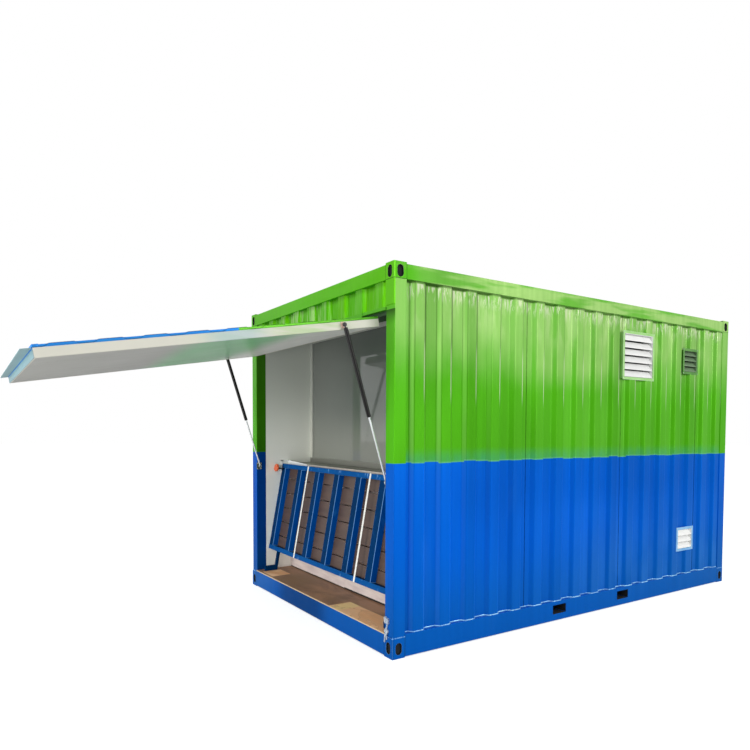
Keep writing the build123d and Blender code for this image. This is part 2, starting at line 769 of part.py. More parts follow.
def flap_point(d, n):
    """Row-frame X and Z of a point d along the flap and n into its thickness, when open."""
    x = PIN_X - d * cos(DROOP) + n * sin(DROOP)
    z = PIN_Z - d * sin(DROOP) - n * cos(DROOP)
    return x, z


FLAP_WIDE = FLAP_LEFT - FLAP_RIGHT
SKIN_BACK = FLAP_SKIN_FACE + FLAP_SKIN
PANEL_BACK = SKIN_BACK + FLAP_PANEL


def rim_bar(start, d, n, long):
    """Extrude a bar of the flap's rim between limits of d and n, a distance in from its end."""
    with BuildSketch(FLAP_PLANE.offset(start)) as section:
        with Locations(((d[0] + d[1]) / 2, (n[0] + n[1]) / 2)):
            Rectangle(d[1] - d[0], n[1] - n[0])
    extrude(section.sketch, amount=long)


# Flap skin: a shallow folded sheet, whose folds a rim of bars closes
with BuildPart() as flap_skin:
    with BuildSketch(FLAP_PLANE):
        outline_face(
            folded_outline(
                FLAP_NEAR,
                FLAP_PANEL_LONG,
                FLAP_NEAR,
                FLAP_SKIN_FACE,
                SKIN_BACK - SHEET,
                PITCH,
                FLAP_CREST,
                FLAP_SLOPE,
            )
        )
    extrude(amount=FLAP_WIDE)
    for start in (0, FLAP_WIDE - FLAP_RIM):
        side_n = (FLAP_SKIN_FACE + FLAP_RIM_DROP, SKIN_BACK)
        rim_bar(start, (FLAP_NEAR, FLAP_PANEL_LONG), side_n, FLAP_RIM)
    for d in ((FLAP_NEAR, FLAP_NEAR + FLAP_RIM), (FLAP_PANEL_LONG - FLAP_RIM, FLAP_PANEL_LONG)):
        rim_bar(0, d, (FLAP_SKIN_FACE, SKIN_BACK), FLAP_WIDE)
keep(flap_skin.part, "flap_skin")

# Flap panel and the metal cap round its edges, which carries the drip lip past the tip
with BuildPart() as flap_panel:
    with BuildSketch(FLAP_PLANE):
        with Locations(((FLAP_NEAR + FLAP_PANEL_LONG) / 2, (SKIN_BACK + PANEL_BACK) / 2)):
            Rectangle(FLAP_PANEL_LONG - FLAP_NEAR - 2 * EDGE_WALL, FLAP_PANEL)
    extrude(amount=FLAP_WIDE)
    block((PIN_X - FLAP_LONG, REAR), (FLAP_RIGHT, FLAP_RIGHT + EDGE_WALL), (0, HEIGHT), Mode.SUBTRACT)
    block((PIN_X - FLAP_LONG, REAR), (FLAP_LEFT - EDGE_WALL, FLAP_LEFT), (0, HEIGHT), Mode.SUBTRACT)
keep(flap_panel.part, "flap_panel")

with BuildPart() as flap_edge:
    with BuildSketch(FLAP_PLANE):
        with Locations(((FLAP_NEAR + FLAP_PANEL_LONG) / 2, (SKIN_BACK + PANEL_BACK) / 2)):
            Rectangle(FLAP_PANEL_LONG - FLAP_NEAR, FLAP_PANEL)
    extrude(amount=FLAP_WIDE)
    with BuildSketch(FLAP_PLANE.offset(EDGE_WALL)):
        with Locations(((FLAP_NEAR + FLAP_PANEL_LONG) / 2, (SKIN_BACK + PANEL_BACK) / 2)):
            Rectangle(FLAP_PANEL_LONG - FLAP_NEAR - 2 * EDGE_WALL, FLAP_PANEL)
    extrude(amount=FLAP_WIDE - 2 * EDGE_WALL, mode=Mode.SUBTRACT)
    with BuildSketch(FLAP_PLANE):
        with Locations(((FLAP_PANEL_LONG + FLAP_LONG) / 2, SKIN_BACK + EDGE_WALL / 2)):
            Rectangle(FLAP_LONG - FLAP_PANEL_LONG, EDGE_WALL)
    extrude(amount=FLAP_WIDE)
keep(flap_edge.part, "flap_edge")

# Flap hinges: three knuckles each, the outer two and the pin on the header's flange
HINGE_PLACES = (-760, 0, 760)
KNUCKLE = 45
KNUCKLE_GAP = 0.5
LEAF = 4
LEAF_CLEAR = 13  # the leaves' plates start this far from the pin, clear of the knuckles
FIXED_LEAF_TOP = HEADER_PANEL_LOW - PIN_Z
MOVING_LEAF_END = 70
HINGE_LONG = 3 * KNUCKLE + 2 * KNUCKLE_GAP


def leaf_part(plane, near, far, middle, long):
    """Extrude a flat piece of a hinge leaf, from near to far from the pin, along the pin."""
    with BuildSketch(plane) as piece:
        if plane.x_dir.X > 0:
            with Locations((middle, (near + far) / 2)):
                Rectangle(LEAF, far - near)
        else:
            with Locations(((near + far) / 2, middle)):
                Rectangle(far - near, LEAF)
    extrude(piece.sketch, amount=long)


with BuildPart() as hinge_fixed_leaves:
    for y in HINGE_PLACES:
        start_y = y + HINGE_LONG / 2
        across = Plane((PIN_X, start_y, PIN_Z), x_dir=(1, 0, 0), z_dir=(0, -1, 0))
        leaf_part(across, LEAF_CLEAR, FIXED_LEAF_TOP, PIN_OUT - LEAF / 2, HINGE_LONG)
        for run in (0, 2 * (KNUCKLE + KNUCKLE_GAP)):
            knuckle = across.offset(run)
            leaf_part(knuckle, 0, LEAF_CLEAR, PIN_OUT - LEAF / 2, KNUCKLE)
            with BuildSketch(knuckle) as barrel:
                Circle(KNUCKLE_RADIUS)
            extrude(barrel.sketch, amount=KNUCKLE)
        with BuildSketch(across) as pin:
            Circle(PIN_RADIUS)
        extrude(pin.sketch, amount=HINGE_LONG)
keep(hinge_fixed_leaves.part, "hinge_fixed_leaves")

with BuildPart() as hinge_moving_leaves:
    for y in HINGE_PLACES:
        start_y = y + HINGE_LONG / 2
        along = Plane((PIN_X, start_y, PIN_Z), x_dir=FLAP_PLANE.x_dir, z_dir=(0, -1, 0))
        leaf_part(along, LEAF_CLEAR, MOVING_LEAF_END, FLAP_SKIN_FACE - LEAF / 2, HINGE_LONG)
        knuckle = along.offset(KNUCKLE + KNUCKLE_GAP)
        leaf_part(knuckle, 0, LEAF_CLEAR, FLAP_SKIN_FACE - LEAF / 2, KNUCKLE)
        with BuildSketch(knuckle) as barrel:
            Circle(KNUCKLE_RADIUS)
            Circle(PIN_RADIUS + PIN_CLEARANCE, mode=Mode.SUBTRACT)
        extrude(barrel.sketch, amount=KNUCKLE)
keep(hinge_moving_leaves.part, "hinge_moving_leaves")

# Gas struts, one in the lane between each front post and the flap's edge
STUD_RADIUS = 5
BRACKET = 4
OPEN_PIVOT_GAP = 5
STRUT_FOOT = (FRONT + STRUT_FOOT_IN, STRUT_FOOT_Z)
STRUT_TOP = flap_point(STRUT_TOP_D, STRUT_TOP_N)
STRUT_LONG = hypot(STRUT_TOP[0] - STRUT_FOOT[0], STRUT_TOP[1] - STRUT_FOOT[1])
STRUT_AXIS = (
    (STRUT_TOP[0] - STRUT_FOOT[0]) / STRUT_LONG,
    0,
    (STRUT_TOP[1] - STRUT_FOOT[1]) / STRUT_LONG,
)
TUBE_START = 20  # from the upper pivot down to the tube's closed end
GLAND = 20
ROD_IN_TUBE = 120
CLOSED_TOP = (PIN_X + STRUT_TOP_N, PIN_Z - STRUT_TOP_D)
CLOSED_LONG = hypot(CLOSED_TOP[0] - STRUT_FOOT[0], CLOSED_TOP[1] - STRUT_FOOT[1])
OPEN_ANGLE = atan2(STRUT_FOOT[0] - STRUT_TOP[0], STRUT_TOP[1] - STRUT_FOOT[1])
CLOSED_ANGLE = atan2(STRUT_FOOT[0] - CLOSED_TOP[0], CLOSED_TOP[1] - STRUT_FOOT[1])
print("pin", PIN_X, PIN_Z, "strut foot", STRUT_FOOT, "top", STRUT_TOP, "axis", STRUT_AXIS)
print("strut stroke", round(STRUT_LONG - CLOSED_LONG, 3), "mm")
print("strut swing", round(degrees(OPEN_ANGLE - CLOSED_ANGLE), 4), "degrees")


def along_strut(y, distance):
    """Plane square to the strut, a distance down from its upper pivot, facing down it."""
    x = STRUT_TOP[0] - STRUT_AXIS[0] * distance
    z = STRUT_TOP[1] - STRUT_AXIS[2] * distance
    down = (-STRUT_AXIS[0], 0, -STRUT_AXIS[2])
    return Plane((x, y, z), x_dir=(0, 1, 0), z_dir=down)


def across_strut(place, y):
    """Plane at a pivot with its normal along -Y."""
    return Plane((place[0], y, place[1]), x_dir=(1, 0, 0), z_dir=(0, -1, 0))


for side, wall_y in (("right", RIGHT), ("left", LEFT)):
    inward = 1 if side == "right" else -1
    lane = wall_y + inward * STRUT_LANE
    with BuildPart() as strut_tube:
        with BuildSketch(along_strut(lane, TUBE_START)):
            Circle(TUBE_RADIUS)
        extrude(amount=TUBE_LONG)
        chamfer(strut_tube.edges().filter_by(GeomType.CIRCLE), TUBE_CHAMFER)
        with BuildSketch(along_strut(lane, TUBE_START + 10)):
            Circle(TUBE_RADIUS - 2)
        extrude(amount=TUBE_LONG - 10 - GLAND, mode=Mode.SUBTRACT)
        with BuildSketch(along_strut(lane, TUBE_START + TUBE_LONG - GLAND - 1)):
            Circle(TUBE_BORE)
        extrude(amount=GLAND + 1, mode=Mode.SUBTRACT)
        with BuildSketch(across_strut(STRUT_TOP, lane + EYE_THICK / 2)):
            Circle(EYE_RADIUS)
        extrude(amount=EYE_THICK)
        with BuildSketch(along_strut(lane, EYE_RADIUS - 4)):
            Rectangle(EYE_THICK, EYE_THICK)
        extrude(amount=TUBE_START - EYE_RADIUS + 6)
        with BuildSketch(across_strut(STRUT_TOP, lane + EYE_THICK / 2)):
            Circle(STUD_RADIUS + 1)
        extrude(amount=EYE_THICK, mode=Mode.SUBTRACT)
    keep(strut_tube.part, side + "_strut_tube")

    with BuildPart() as strut_rod:
        rod_start = TUBE_START + TUBE_LONG - ROD_IN_TUBE
        with BuildSketch(along_strut(lane, rod_start)):
            Circle(ROD_RADIUS)
        extrude(amount=STRUT_LONG - rod_start - EYE_RADIUS + 4)
        with BuildSketch(across_strut(STRUT_FOOT, lane + EYE_THICK / 2)):
            Circle(EYE_RADIUS)
        extrude(amount=EYE_THICK)
        with BuildSketch(across_strut(STRUT_FOOT, lane + EYE_THICK / 2)):
            Circle(STUD_RADIUS + PIN_CLEARANCE)
        extrude(amount=EYE_THICK, mode=Mode.SUBTRACT)
    keep(strut_rod.part, side + "_strut_rod")

# Brackets of the struts: plates with studs on the posts, and on the flap's side edges
with BuildPart() as strut_post_brackets:
    for wall_y, inward in ((RIGHT, 1), (LEFT, -1)):
        post_face = wall_y + inward * BLOCK
        stud_end = wall_y + inward * (STRUT_LANE + EYE_THICK / 2 + 2)
        plate_end = post_face + inward * BRACKET
        with BuildSketch(across_strut(STRUT_FOOT, max(post_face, plate_end))):
            RectangleRounded(*POST_BRACKET, BRACKET_ROUND)
        extrude(amount=BRACKET)
        with BuildSketch(across_strut(STRUT_FOOT, max(post_face, stud_end))):
            Circle(STUD_RADIUS)
        extrude(amount=abs(stud_end - post_face))
keep(strut_post_brackets.part, "strut_post_brackets")

with BuildPart() as strut_flap_brackets:
    for wall_y, inward in ((RIGHT, 1), (LEFT, -1)):
        edge = wall_y + inward * FLAP_SIDE_GAP
        plate_end = edge - inward * BRACKET
        stud_end = wall_y + inward * (STRUT_LANE + EYE_THICK / 2 + OPEN_PIVOT_GAP)
        plate = Plane(
            (STRUT_TOP[0], max(edge, plate_end), STRUT_TOP[1]),
            x_dir=FLAP_PLANE.x_dir,
            z_dir=(0, -1, 0),
        )
        with BuildSketch(plate):
            RectangleRounded(*FLAP_BRACKET, BRACKET_ROUND)
        extrude(amount=BRACKET)
        with BuildSketch(across_strut(STRUT_TOP, max(edge, stud_end))):
            Circle(STUD_RADIUS)
        extrude(amount=abs(stud_end - edge))
keep(strut_flap_brackets.part, "strut_flap_brackets")
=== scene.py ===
# %% [markdown]
# # A container shop
# This notebook dresses a small steel container that has been turned into a shop. Its front end
# is one big awning flap, held up by two gas struts over a counter. The solid parts come ready
# made as a fixed frame, and each step below either gives a part its finish or builds a finer
# piece in its place. Everything is in metres: +X runs from the open front to the closed rear,
# -Y is the long side with the louvres, and +Z is up.

# %% Load the frame
from math import ceil, cos, pi, radians, sin

import bmesh
import bpy
from mathutils import Matrix, Vector, noise


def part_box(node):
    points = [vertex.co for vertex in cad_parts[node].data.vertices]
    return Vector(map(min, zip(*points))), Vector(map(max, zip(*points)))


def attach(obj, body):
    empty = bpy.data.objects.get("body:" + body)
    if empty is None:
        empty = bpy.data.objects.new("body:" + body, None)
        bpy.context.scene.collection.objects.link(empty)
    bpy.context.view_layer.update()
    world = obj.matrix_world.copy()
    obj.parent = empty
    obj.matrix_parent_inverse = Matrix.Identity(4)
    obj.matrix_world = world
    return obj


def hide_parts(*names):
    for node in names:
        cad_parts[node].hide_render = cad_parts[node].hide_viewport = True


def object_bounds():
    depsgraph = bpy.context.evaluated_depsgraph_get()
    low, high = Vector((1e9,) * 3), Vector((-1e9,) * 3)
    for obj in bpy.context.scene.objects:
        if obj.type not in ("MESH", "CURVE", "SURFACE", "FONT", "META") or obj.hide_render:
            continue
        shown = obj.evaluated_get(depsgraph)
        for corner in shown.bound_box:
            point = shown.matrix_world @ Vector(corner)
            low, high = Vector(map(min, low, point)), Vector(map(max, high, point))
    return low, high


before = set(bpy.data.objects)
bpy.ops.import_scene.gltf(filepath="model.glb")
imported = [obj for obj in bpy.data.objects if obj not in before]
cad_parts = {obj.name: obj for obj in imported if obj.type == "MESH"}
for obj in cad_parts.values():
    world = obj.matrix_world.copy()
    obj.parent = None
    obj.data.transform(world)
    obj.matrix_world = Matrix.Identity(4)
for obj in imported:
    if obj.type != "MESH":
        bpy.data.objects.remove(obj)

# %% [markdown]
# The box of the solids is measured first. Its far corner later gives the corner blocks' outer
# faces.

scene = bpy.context.scene
solid_box = [list(corner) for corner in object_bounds()]
print("solid model", solid_box)

# %% [markdown]
# The camera stands where the photographer stood, left of the open end at eye height, and looks
# along the side. Its place was worked out from the container's corners, which are known sizes.
# A rotation is easiest to write as three arrows: where the camera looks, its right and its up.
# A small shift keeps the uprights upright, as the photograph has them.

# %% Camera
CAMERA_PLACE = Vector((-4.276, -4.595, 1.512))
CAMERA_YAW = radians(56.034)
CAMERA_PITCH = radians(-2.301)
CAMERA_ROLL = radians(0.269)
CAMERA_LENS = 30.31
CAMERA_SHIFT = (-0.0241, 0.106)

look = Vector(
    (
        cos(CAMERA_YAW) * cos(CAMERA_PITCH),
        sin(CAMERA_YAW) * cos(CAMERA_PITCH),
        sin(CAMERA_PITCH),
    )
)
level_right = Vector((sin(CAMERA_YAW), -cos(CAMERA_YAW), 0))
level_up = level_right.cross(look)
camera_right = level_right * cos(CAMERA_ROLL) + level_up * sin(CAMERA_ROLL)
camera_up = level_up * cos(CAMERA_ROLL) - level_right * sin(CAMERA_ROLL)

camera = bpy.data.objects.new("camera", bpy.data.cameras.new("camera"))
camera.data.lens = CAMERA_LENS
camera.data.sensor_width = 36
camera.data.shift_x, camera.data.shift_y = CAMERA_SHIFT
camera.data.clip_end = 200
turn = Matrix((camera_right, camera_up, -look)).transposed().to_4x4()
camera.matrix_world = Matrix.Translation(CAMERA_PLACE) @ turn
scene.collection.objects.link(camera)
scene.camera = camera
print("camera looks along", [round(v, 3) for v in look])

# %% [markdown]
# Shader maths reads best as arithmetic. The class below holds one output of a node, and adding,
# subtracting, multiplying or dividing it makes the Math node that does so. A second class holds
# one material: its `node` method makes any other node, sets its settings first, and then fills
# its sockets with numbers, with colour codes or with the outputs of other nodes.


# %% Shader arithmetic
class Amount:
    """One output of a shader node, which can be used in arithmetic."""

    def __init__(self, finish, socket):
        self.finish = finish
        self.socket = socket

    def math(self, operation, *others):
        """Add a Math node whose first values are this amount and the others."""
        inputs = dict(enumerate((self,) + others))
        return self.finish.node("ShaderNodeMath", {"operation": operation}, inputs)

    def __add__(self, other):
        return self.math("ADD", other)

    __radd__ = __add__

    def __mul__(self, other):
        return self.math("MULTIPLY", other)

    __rmul__ = __mul__

    def __sub__(self, other):
        return self.math("SUBTRACT", other)

    def __rsub__(self, other):
        return self.finish.node("ShaderNodeMath", {"operation": "SUBTRACT"}, {0: other, 1: self})

    def __truediv__(self, other):
        return self.math("DIVIDE", other)

    def step(self, start, end):
        """Go smoothly from 0 at start to 1 at end."""
        settings = {"interpolation_type": "SMOOTHSTEP"}
        inputs = {"Value": self, "From Min": start, "From Max": end}
        return self.finish.node("ShaderNodeMapRange", settings, inputs, "Result")

    def fall(self, start, end):
        """Go smoothly from 1 at start to 0 at end."""
        return 1 - self.step(start, end)

    def band(self, middle, half, blur):
        """Mark with 1 where this amount is within half of the middle."""
        return (self - middle).math("ABSOLUTE").fall(half - blur, half + blur)


class Finish:
    """One material, whose nodes are made by its own methods."""

    def __init__(self, name):
        self.material = bpy.data.materials.new(name)
        self.material.use_nodes = True
        self.tree = self.material.node_tree
        self.tree.nodes.clear()

    def fill(self, node, inputs):
        """Fill sockets, named or numbered, with numbers, colour codes or amounts."""
        for key, value in inputs.items():
            if isinstance(key, int):
                socket = node.inputs[key]
            else:
                socket = next(s for s in node.inputs if s.name == key and s.enabled)
            if isinstance(value, Amount):
                self.tree.links.new(value.socket, socket)
            else:
                socket.default_value = colour(value) if isinstance(value, str) else value

    def node(self, kind, settings, inputs, output=0):
        """Add a node, set its settings first and its sockets next, and give one output."""
        node = self.tree.nodes.new(kind)
        for key, value in settings.items():
            setattr(node, key, value)
        self.fill(node, inputs)
        live = [socket for socket in node.outputs if socket.enabled]
        if not live:
            return None
        if isinstance(output, int):
            return Amount(self, live[output])
        return Amount(self, next(socket for socket in live if socket.name == output))

    def place(self):
        """The point's place on the object at rest, in metres."""
        return self.node("ShaderNodeTexCoord", {}, {}, "Object")

    def along(self, axis):
        """The point's x, y or z."""
        return self.node("ShaderNodeSeparateXYZ", {}, {"Vector": self.place()}, axis)

    def stretched(self, sizes):
        """The place multiplied by a size for each axis, to stretch a pattern."""
        settings = {"operation": "MULTIPLY"}
        return self.node("ShaderNodeVectorMath", settings, {0: self.place(), 1: sizes})

    def grain(self, sizes, detail=3.0, rough=0.5, warp=0.0):
        """Noise between 0 and 1 with this many blobs to the metre, on all axes or on each."""
        inputs = {
            "Vector": self.stretched(three(sizes)),
            "Scale": 1.0,
            "Detail": detail,
            "Roughness": rough,
            "Distortion": warp,
        }
        return self.node("ShaderNodeTexNoise", {}, inputs, 0)

    def tone(self, run, cell):
        """A steady value between 0 and 1 for each cell of this width along a run."""
        settings = {"noise_dimensions": "1D"}
        inputs = {"W": (run / cell).math("FLOOR")}
        return self.node("ShaderNodeTexWhiteNoise", settings, inputs, "Value")

    def mix(self, share, first, second):
        """Mix two colours, from the first at 0 to the second at 1."""
        inputs = {"Factor": share, "A": first, "B": second}
        return self.node("ShaderNodeMix", {"data_type": "RGBA"}, inputs, "Result")

    def layers(self, coat, *layers):
        """Lay colours over a coat one by one, each with the share that it covers."""
        for share, layer in layers:
            coat = self.mix(share, coat, layer)
        return coat

    def shade(self, colour, amount):
        """Multiply a colour by a grey amount."""
        settings = {"data_type": "RGBA", "blend_type": "MULTIPLY"}
        grey = self.node("ShaderNodeCombineColor", {}, {0: amount, 1: amount, 2: amount})
        inputs = {"Factor": 1.0, "A": colour, "B": grey}
        return self.node("ShaderNodeMix", settings, inputs, "Result")

    def bump(self, height, distance, strength=1.0):
        """Turn a height between 0 and 1 into a normal, with the distance that 1 stands for."""
        inputs = {"Height": height, "Distance": distance, "Strength": strength}
        return self.node("ShaderNodeBump", {}, inputs)

    def surface(self, **sockets):
        """End the material with a Principled BSDF, sockets named with _ for a space."""
        inputs = {key.replace("_", " "): value for key, value in sockets.items()}
        shader = self.node("ShaderNodeBsdfPrincipled", {}, inputs)
        self.node("ShaderNodeOutputMaterial", {}, {"Surface": shader})
        return self.material


def three(sizes):
    """Three sizes from a single one, or three as they are."""
    return (sizes,) * 3 if isinstance(sizes, float) else sizes


def colour(code):
    """Turn a colour code such as 5cbb12 into the linear colour that shaders use."""
    values = [int(code[n : n + 2], 16) / 255 for n in (0, 2, 4)]
    linear = [v / 12.92 if v < 0.04045 else ((v + 0.055) / 1.055) ** 2.4 for v in values]
    return (*linear, 1.0)


print("grass green is", [round(v, 3) for v in colour("5cbb12")])

# %% [markdown]
# The light is that of a plain studio. The world is white, and gives the object a little less
# light than that, so that soft lamps can add some direction: one from the front left, one
# along the louvred side, one overhead and a smaller one that shines in under the flap. Together
# they light a surface about as strongly as its colour is written. The floor is white for the
# camera and still takes the container's shadow.

# %% Light
WORLD_LIGHT = 0.62

world = bpy.data.worlds.new("studio")
world.use_nodes = True
scene.world = world
sky = Finish("sky")
sky.tree = world.node_tree
sky.tree.nodes.clear()
seen = sky.node("ShaderNodeLightPath", {}, {}, "Is Camera Ray").math(
    "MAXIMUM", sky.node("ShaderNodeLightPath", {}, {}, "Is Glossy Ray")
)
seen = seen.math("MAXIMUM", sky.node("ShaderNodeLightPath", {}, {}, "Is Transmission Ray"))
glow = sky.node(
    "ShaderNodeBackground",
    {},
    {"Color": (1.0, 1.0, 1.0, 1.0), "Strength": seen * (1 - WORLD_LIGHT) + WORLD_LIGHT},
)
sky.node("ShaderNodeOutputWorld", {}, {"Surface": glow})


def lamp(name, place, target, size, power):
    """Add a square soft lamp at a place, facing a target."""
    data = bpy.data.lights.new(name, "AREA")
    data.size = size
    data.energy = power
    thing = bpy.data.objects.new(name, data)
    thing.location = place
    facing = Vector(target) - Vector(place)
    thing.rotation_euler = facing.to_track_quat("-Z", "Y").to_euler()
    thing.visible_camera = False
    scene.collection.objects.link(thing)


lamp("front_left_lamp", (-9.0, -6.5, 4.0), (-1.0, -1.0, 1.2), 4.0, 170)
lamp("side_lamp", (3.0, -10.5, 4.0), (0.3, -0.5, 1.0), 5.0, 470)
lamp("opening_lamp", (-6.4, -0.2, 1.25), (-1.6, 0.1, 1.2), 1.8, 115)
lamp("top_lamp", (0.0, 0.5, 9.5), (0.0, 0.0, 2.0), 6.0, 260)
scene.view_settings.view_transform = "Standard"
print("world light", WORLD_LIGHT, "and 4 lamps")

# %% [markdown]
# A product stands on white studio paper that runs on behind it without an edge. A curved
# backdrop could be modelled, but a very wide flat floor that glows a little for the camera looks
# the same. Right under the container it doesn't glow, or light would leak in through the gaps.

# %% Floor
FLOOR_HALF = 60.0
FLOOR_LEVEL = -0.0005
PAPER_GREY = (0.62, 0.62, 0.62, 1.0)
PAPER_GLOW = 0.68
UNDER_X = 1.985
UNDER_Y = 1.20

stage = bpy.data.meshes.new("studio_floor")
corners = [(x, y, FLOOR_LEVEL) for x, y in ((-1, -1), (1, -1), (1, 1), (-1, 1))]
stage.from_pydata([(x * FLOOR_HALF, y * FLOOR_HALF, z) for x, y, z in corners], [], [(0, 1, 2, 3)])
studio_floor = bpy.data.objects.new("studio_floor", stage)
scene.collection.objects.link(studio_floor)

studio_paper = Finish("studio_floor")
path = studio_paper.node("ShaderNodeLightPath", {}, {}, "Is Camera Ray")
under = studio_paper.along("X").band(0.0, UNDER_X, 0.02)
under = under * studio_paper.along("Y").band(0.0, UNDER_Y, 0.02)
glow = studio_paper.node(
    "ShaderNodeEmission", {}, {"Color": (1.0, 1.0, 1.0, 1.0), "Strength": (1 - under) * PAPER_GLOW}
)
paper = studio_paper.node("ShaderNodeBsdfDiffuse", {}, {"Color": PAPER_GREY, "Roughness": 0.0})
bright = studio_paper.node("ShaderNodeAddShader", {}, {0: glow, 1: paper})
shown = studio_paper.node("ShaderNodeMixShader", {}, {0: path, 1: paper, 2: bright})
studio_paper.node("ShaderNodeOutputMaterial", {}, {"Surface": shown})
stage.materials.append(studio_paper.material)
print("studio floor", FLOOR_HALF * 2, "m wide")

# %% [markdown]
# The steel is sprayed in two colours, grass green above and blue below, so one recipe can serve
# every steel piece: it asks how high the point is and picks the colour. Real gloss paint is
# never one colour. Near the roof it is paler, most of all on the long sides: partly chalked by
# sun and rain, partly a painted sheen of the sky. Pale painted highlights lie under the top
# rail. Low down and towards the closed end the blue is darker, in painted shade. Each flat of a
# folded sheet was pressed and sprayed a little differently, so it has its own tone, and the
# sheet is not quite flat, which a soft bump shows in the highlights.

# %% Two-tone paint
PAINT_LINE = 1.287
PAINT_SOFT = 0.003
GREEN = "50ae16"
PALE_GREEN = "a7cd7b"
DEEP_GREEN = "3f930a"
# LIT_GREEN is the green in a painted sheen of the sky, on front faces and the header.
LIT_GREEN = "64c000"
# GLINT_WHITE is for pale painted highlights on the folded sheets.
GLINT_WHITE = "e6e2d0"
BLUE = "0062d4"
PALE_BLUE = "3a86dc"
DEEP_BLUE = "0052b8"
# SHADED_BLUE is the blue in painted shade, low down and towards the closed end.
SHADED_BLUE = "0a60b0"
TEAL = "3aa08c"
RAIL_LOW = 2.482


def paint_coat(finish, upper, chalk_and_sheen, wear, low=0.0):
    """Mix green where upper is 1 and blue elsewhere, with chalk, painted sheen, wear and painted
    shade.
    """
    blotch = finish.grain((1.3, 1.3, 0.7), 2.0).step(0.4, 0.75)
    green = finish.layers(GREEN, (blotch * 0.6, DEEP_GREEN), (chalk_and_sheen, PALE_GREEN))
    pale = (chalk_and_sheen + wear).math("MINIMUM", 1.0)
    blue = finish.layers(BLUE, (blotch * 0.6, DEEP_BLUE), (low, SHADED_BLUE), (pale, PALE_BLUE))
    return finish.mix(upper, blue, green)


def roof_sheen_and_chalk(finish, height, beside):
    """Chalk and painted sheen: most high up on the long sides, in patches on the rails."""
    ragged = height + finish.grain((5.0, 5.0, 2.5), 4.0) * 0.36 - 0.18
    wall = ragged.step(1.78, 2.26) * (beside * 0.41 + 0.08)
    patch = finish.grain((1.5, 1.5, 12.0), 3.0).step(0.40, 0.58)
    along = finish.along("X").step(-1.895, -1.74)
    rail = (patch * 0.50 + 0.20) * beside * along + patch * 0.10
    above = height.step(RAIL_LOW - 0.003, RAIL_LOW + 0.001)
    return wall * (1 - above) + rail * above


def low_shade_share(height, run):
    """How far painted shade darkens the blue, towards the ground and towards the closed end."""
    ground = height.fall(0.1, 0.75)
    return ground * 0.65 + run.step(-0.8, 2.2) * 0.25


def wavering(finish, height):
    """The height with a slight wobble, because a masked line is never quite straight."""
    return height + (finish.grain(4.0) * 0.004 - 0.002)


def bare_wear(finish, start):
    """Thin upright scuffs, where a noise rises past its start."""
    return (finish.grain((5.0, 5.0, 1.1), 4.0) - start).math("MAXIMUM", 0.0)


print("two-tone paint changes at", PAINT_LINE, "m")

# %% [markdown]
# Every coat of gloss ends the same way: a slow wave in the steel, the fine peel of sprayed
# paint, and a roughness that follows the rain's streaks. Each recipe could end on its own, but
# one function keeps them alike. A second one lays dark marks over the light, one by one.


# %% Gloss and marks
def gloss_end(finish, coat, streak, wave_sizes, metal=0.25):
    """End a paint with its gloss: a slow wave in the sheet and the fine peel of sprayed paint."""
    wave = finish.grain(wave_sizes, 2.0)
    peel = finish.grain(140.0, 1.0)
    return finish.surface(
        Base_Color=coat,
        Roughness=streak * 0.16 + 0.24,
        Metallic=metal,
        Specular_IOR_Level=0.03,
        Normal=finish.bump(wave * 0.94 + peel * 0.06, 0.005),
    )


def dimmed(light, *marks):
    """Darken a light by each mark in turn. A mark of 1 is black, and one below 0 is brighter."""
    for mark in marks:
        light = light * (1 - mark)
    return light


print("gloss ends each paint")

# %% [markdown]
# A corner block is a casting, welded in between posts and rails. A hairline gap runs round it,
# with a row of weld drops beneath whose paleness is a painted glint. Such lines could be cut
# into the mesh, at the cost of many faces. Here the paint draws them, at the places where the
# blocks end.

# %% Joints round the blocks
BLOCK_X = 1.9
BLOCK_Y = 1.119
GAP = (0.0022, 0.0012)


def joint_lines(finish, coat):
    """Draw the joints round the corner blocks: dark gaps, and a dotted weld below in painted glint.
    """
    height = finish.along("Z")
    east = finish.along("X").math("ABSOLUTE")
    across = finish.along("Y").math("ABSOLUTE")
    ends = height.fall(0.152, 0.156).math("MAXIMUM", height.step(2.480, 2.4815))
    gap = east.band(BLOCK_X, *GAP).math("MAXIMUM", across.band(BLOCK_Y, *GAP))
    corner = east.step(BLOCK_X - 0.002, BLOCK_X) * across.step(BLOCK_Y - 0.002, BLOCK_Y)
    high = height.band(2.483, *GAP)
    low = height.band(0.1405, 0.0034, 0.002)
    weld_glint_dots = finish.grain((70.0, 70.0, 4.0), 2.0).step(0.44, 0.52)
    return finish.layers(
        coat,
        ((gap * ends).math("MAXIMUM", high * corner) * 0.62, "0c2a14"),
        (low * corner * weld_glint_dots * 0.75, "8cc8f8"),
    )


print("joints are drawn", BLOCK_X, "and", BLOCK_Y, "m from the middle")
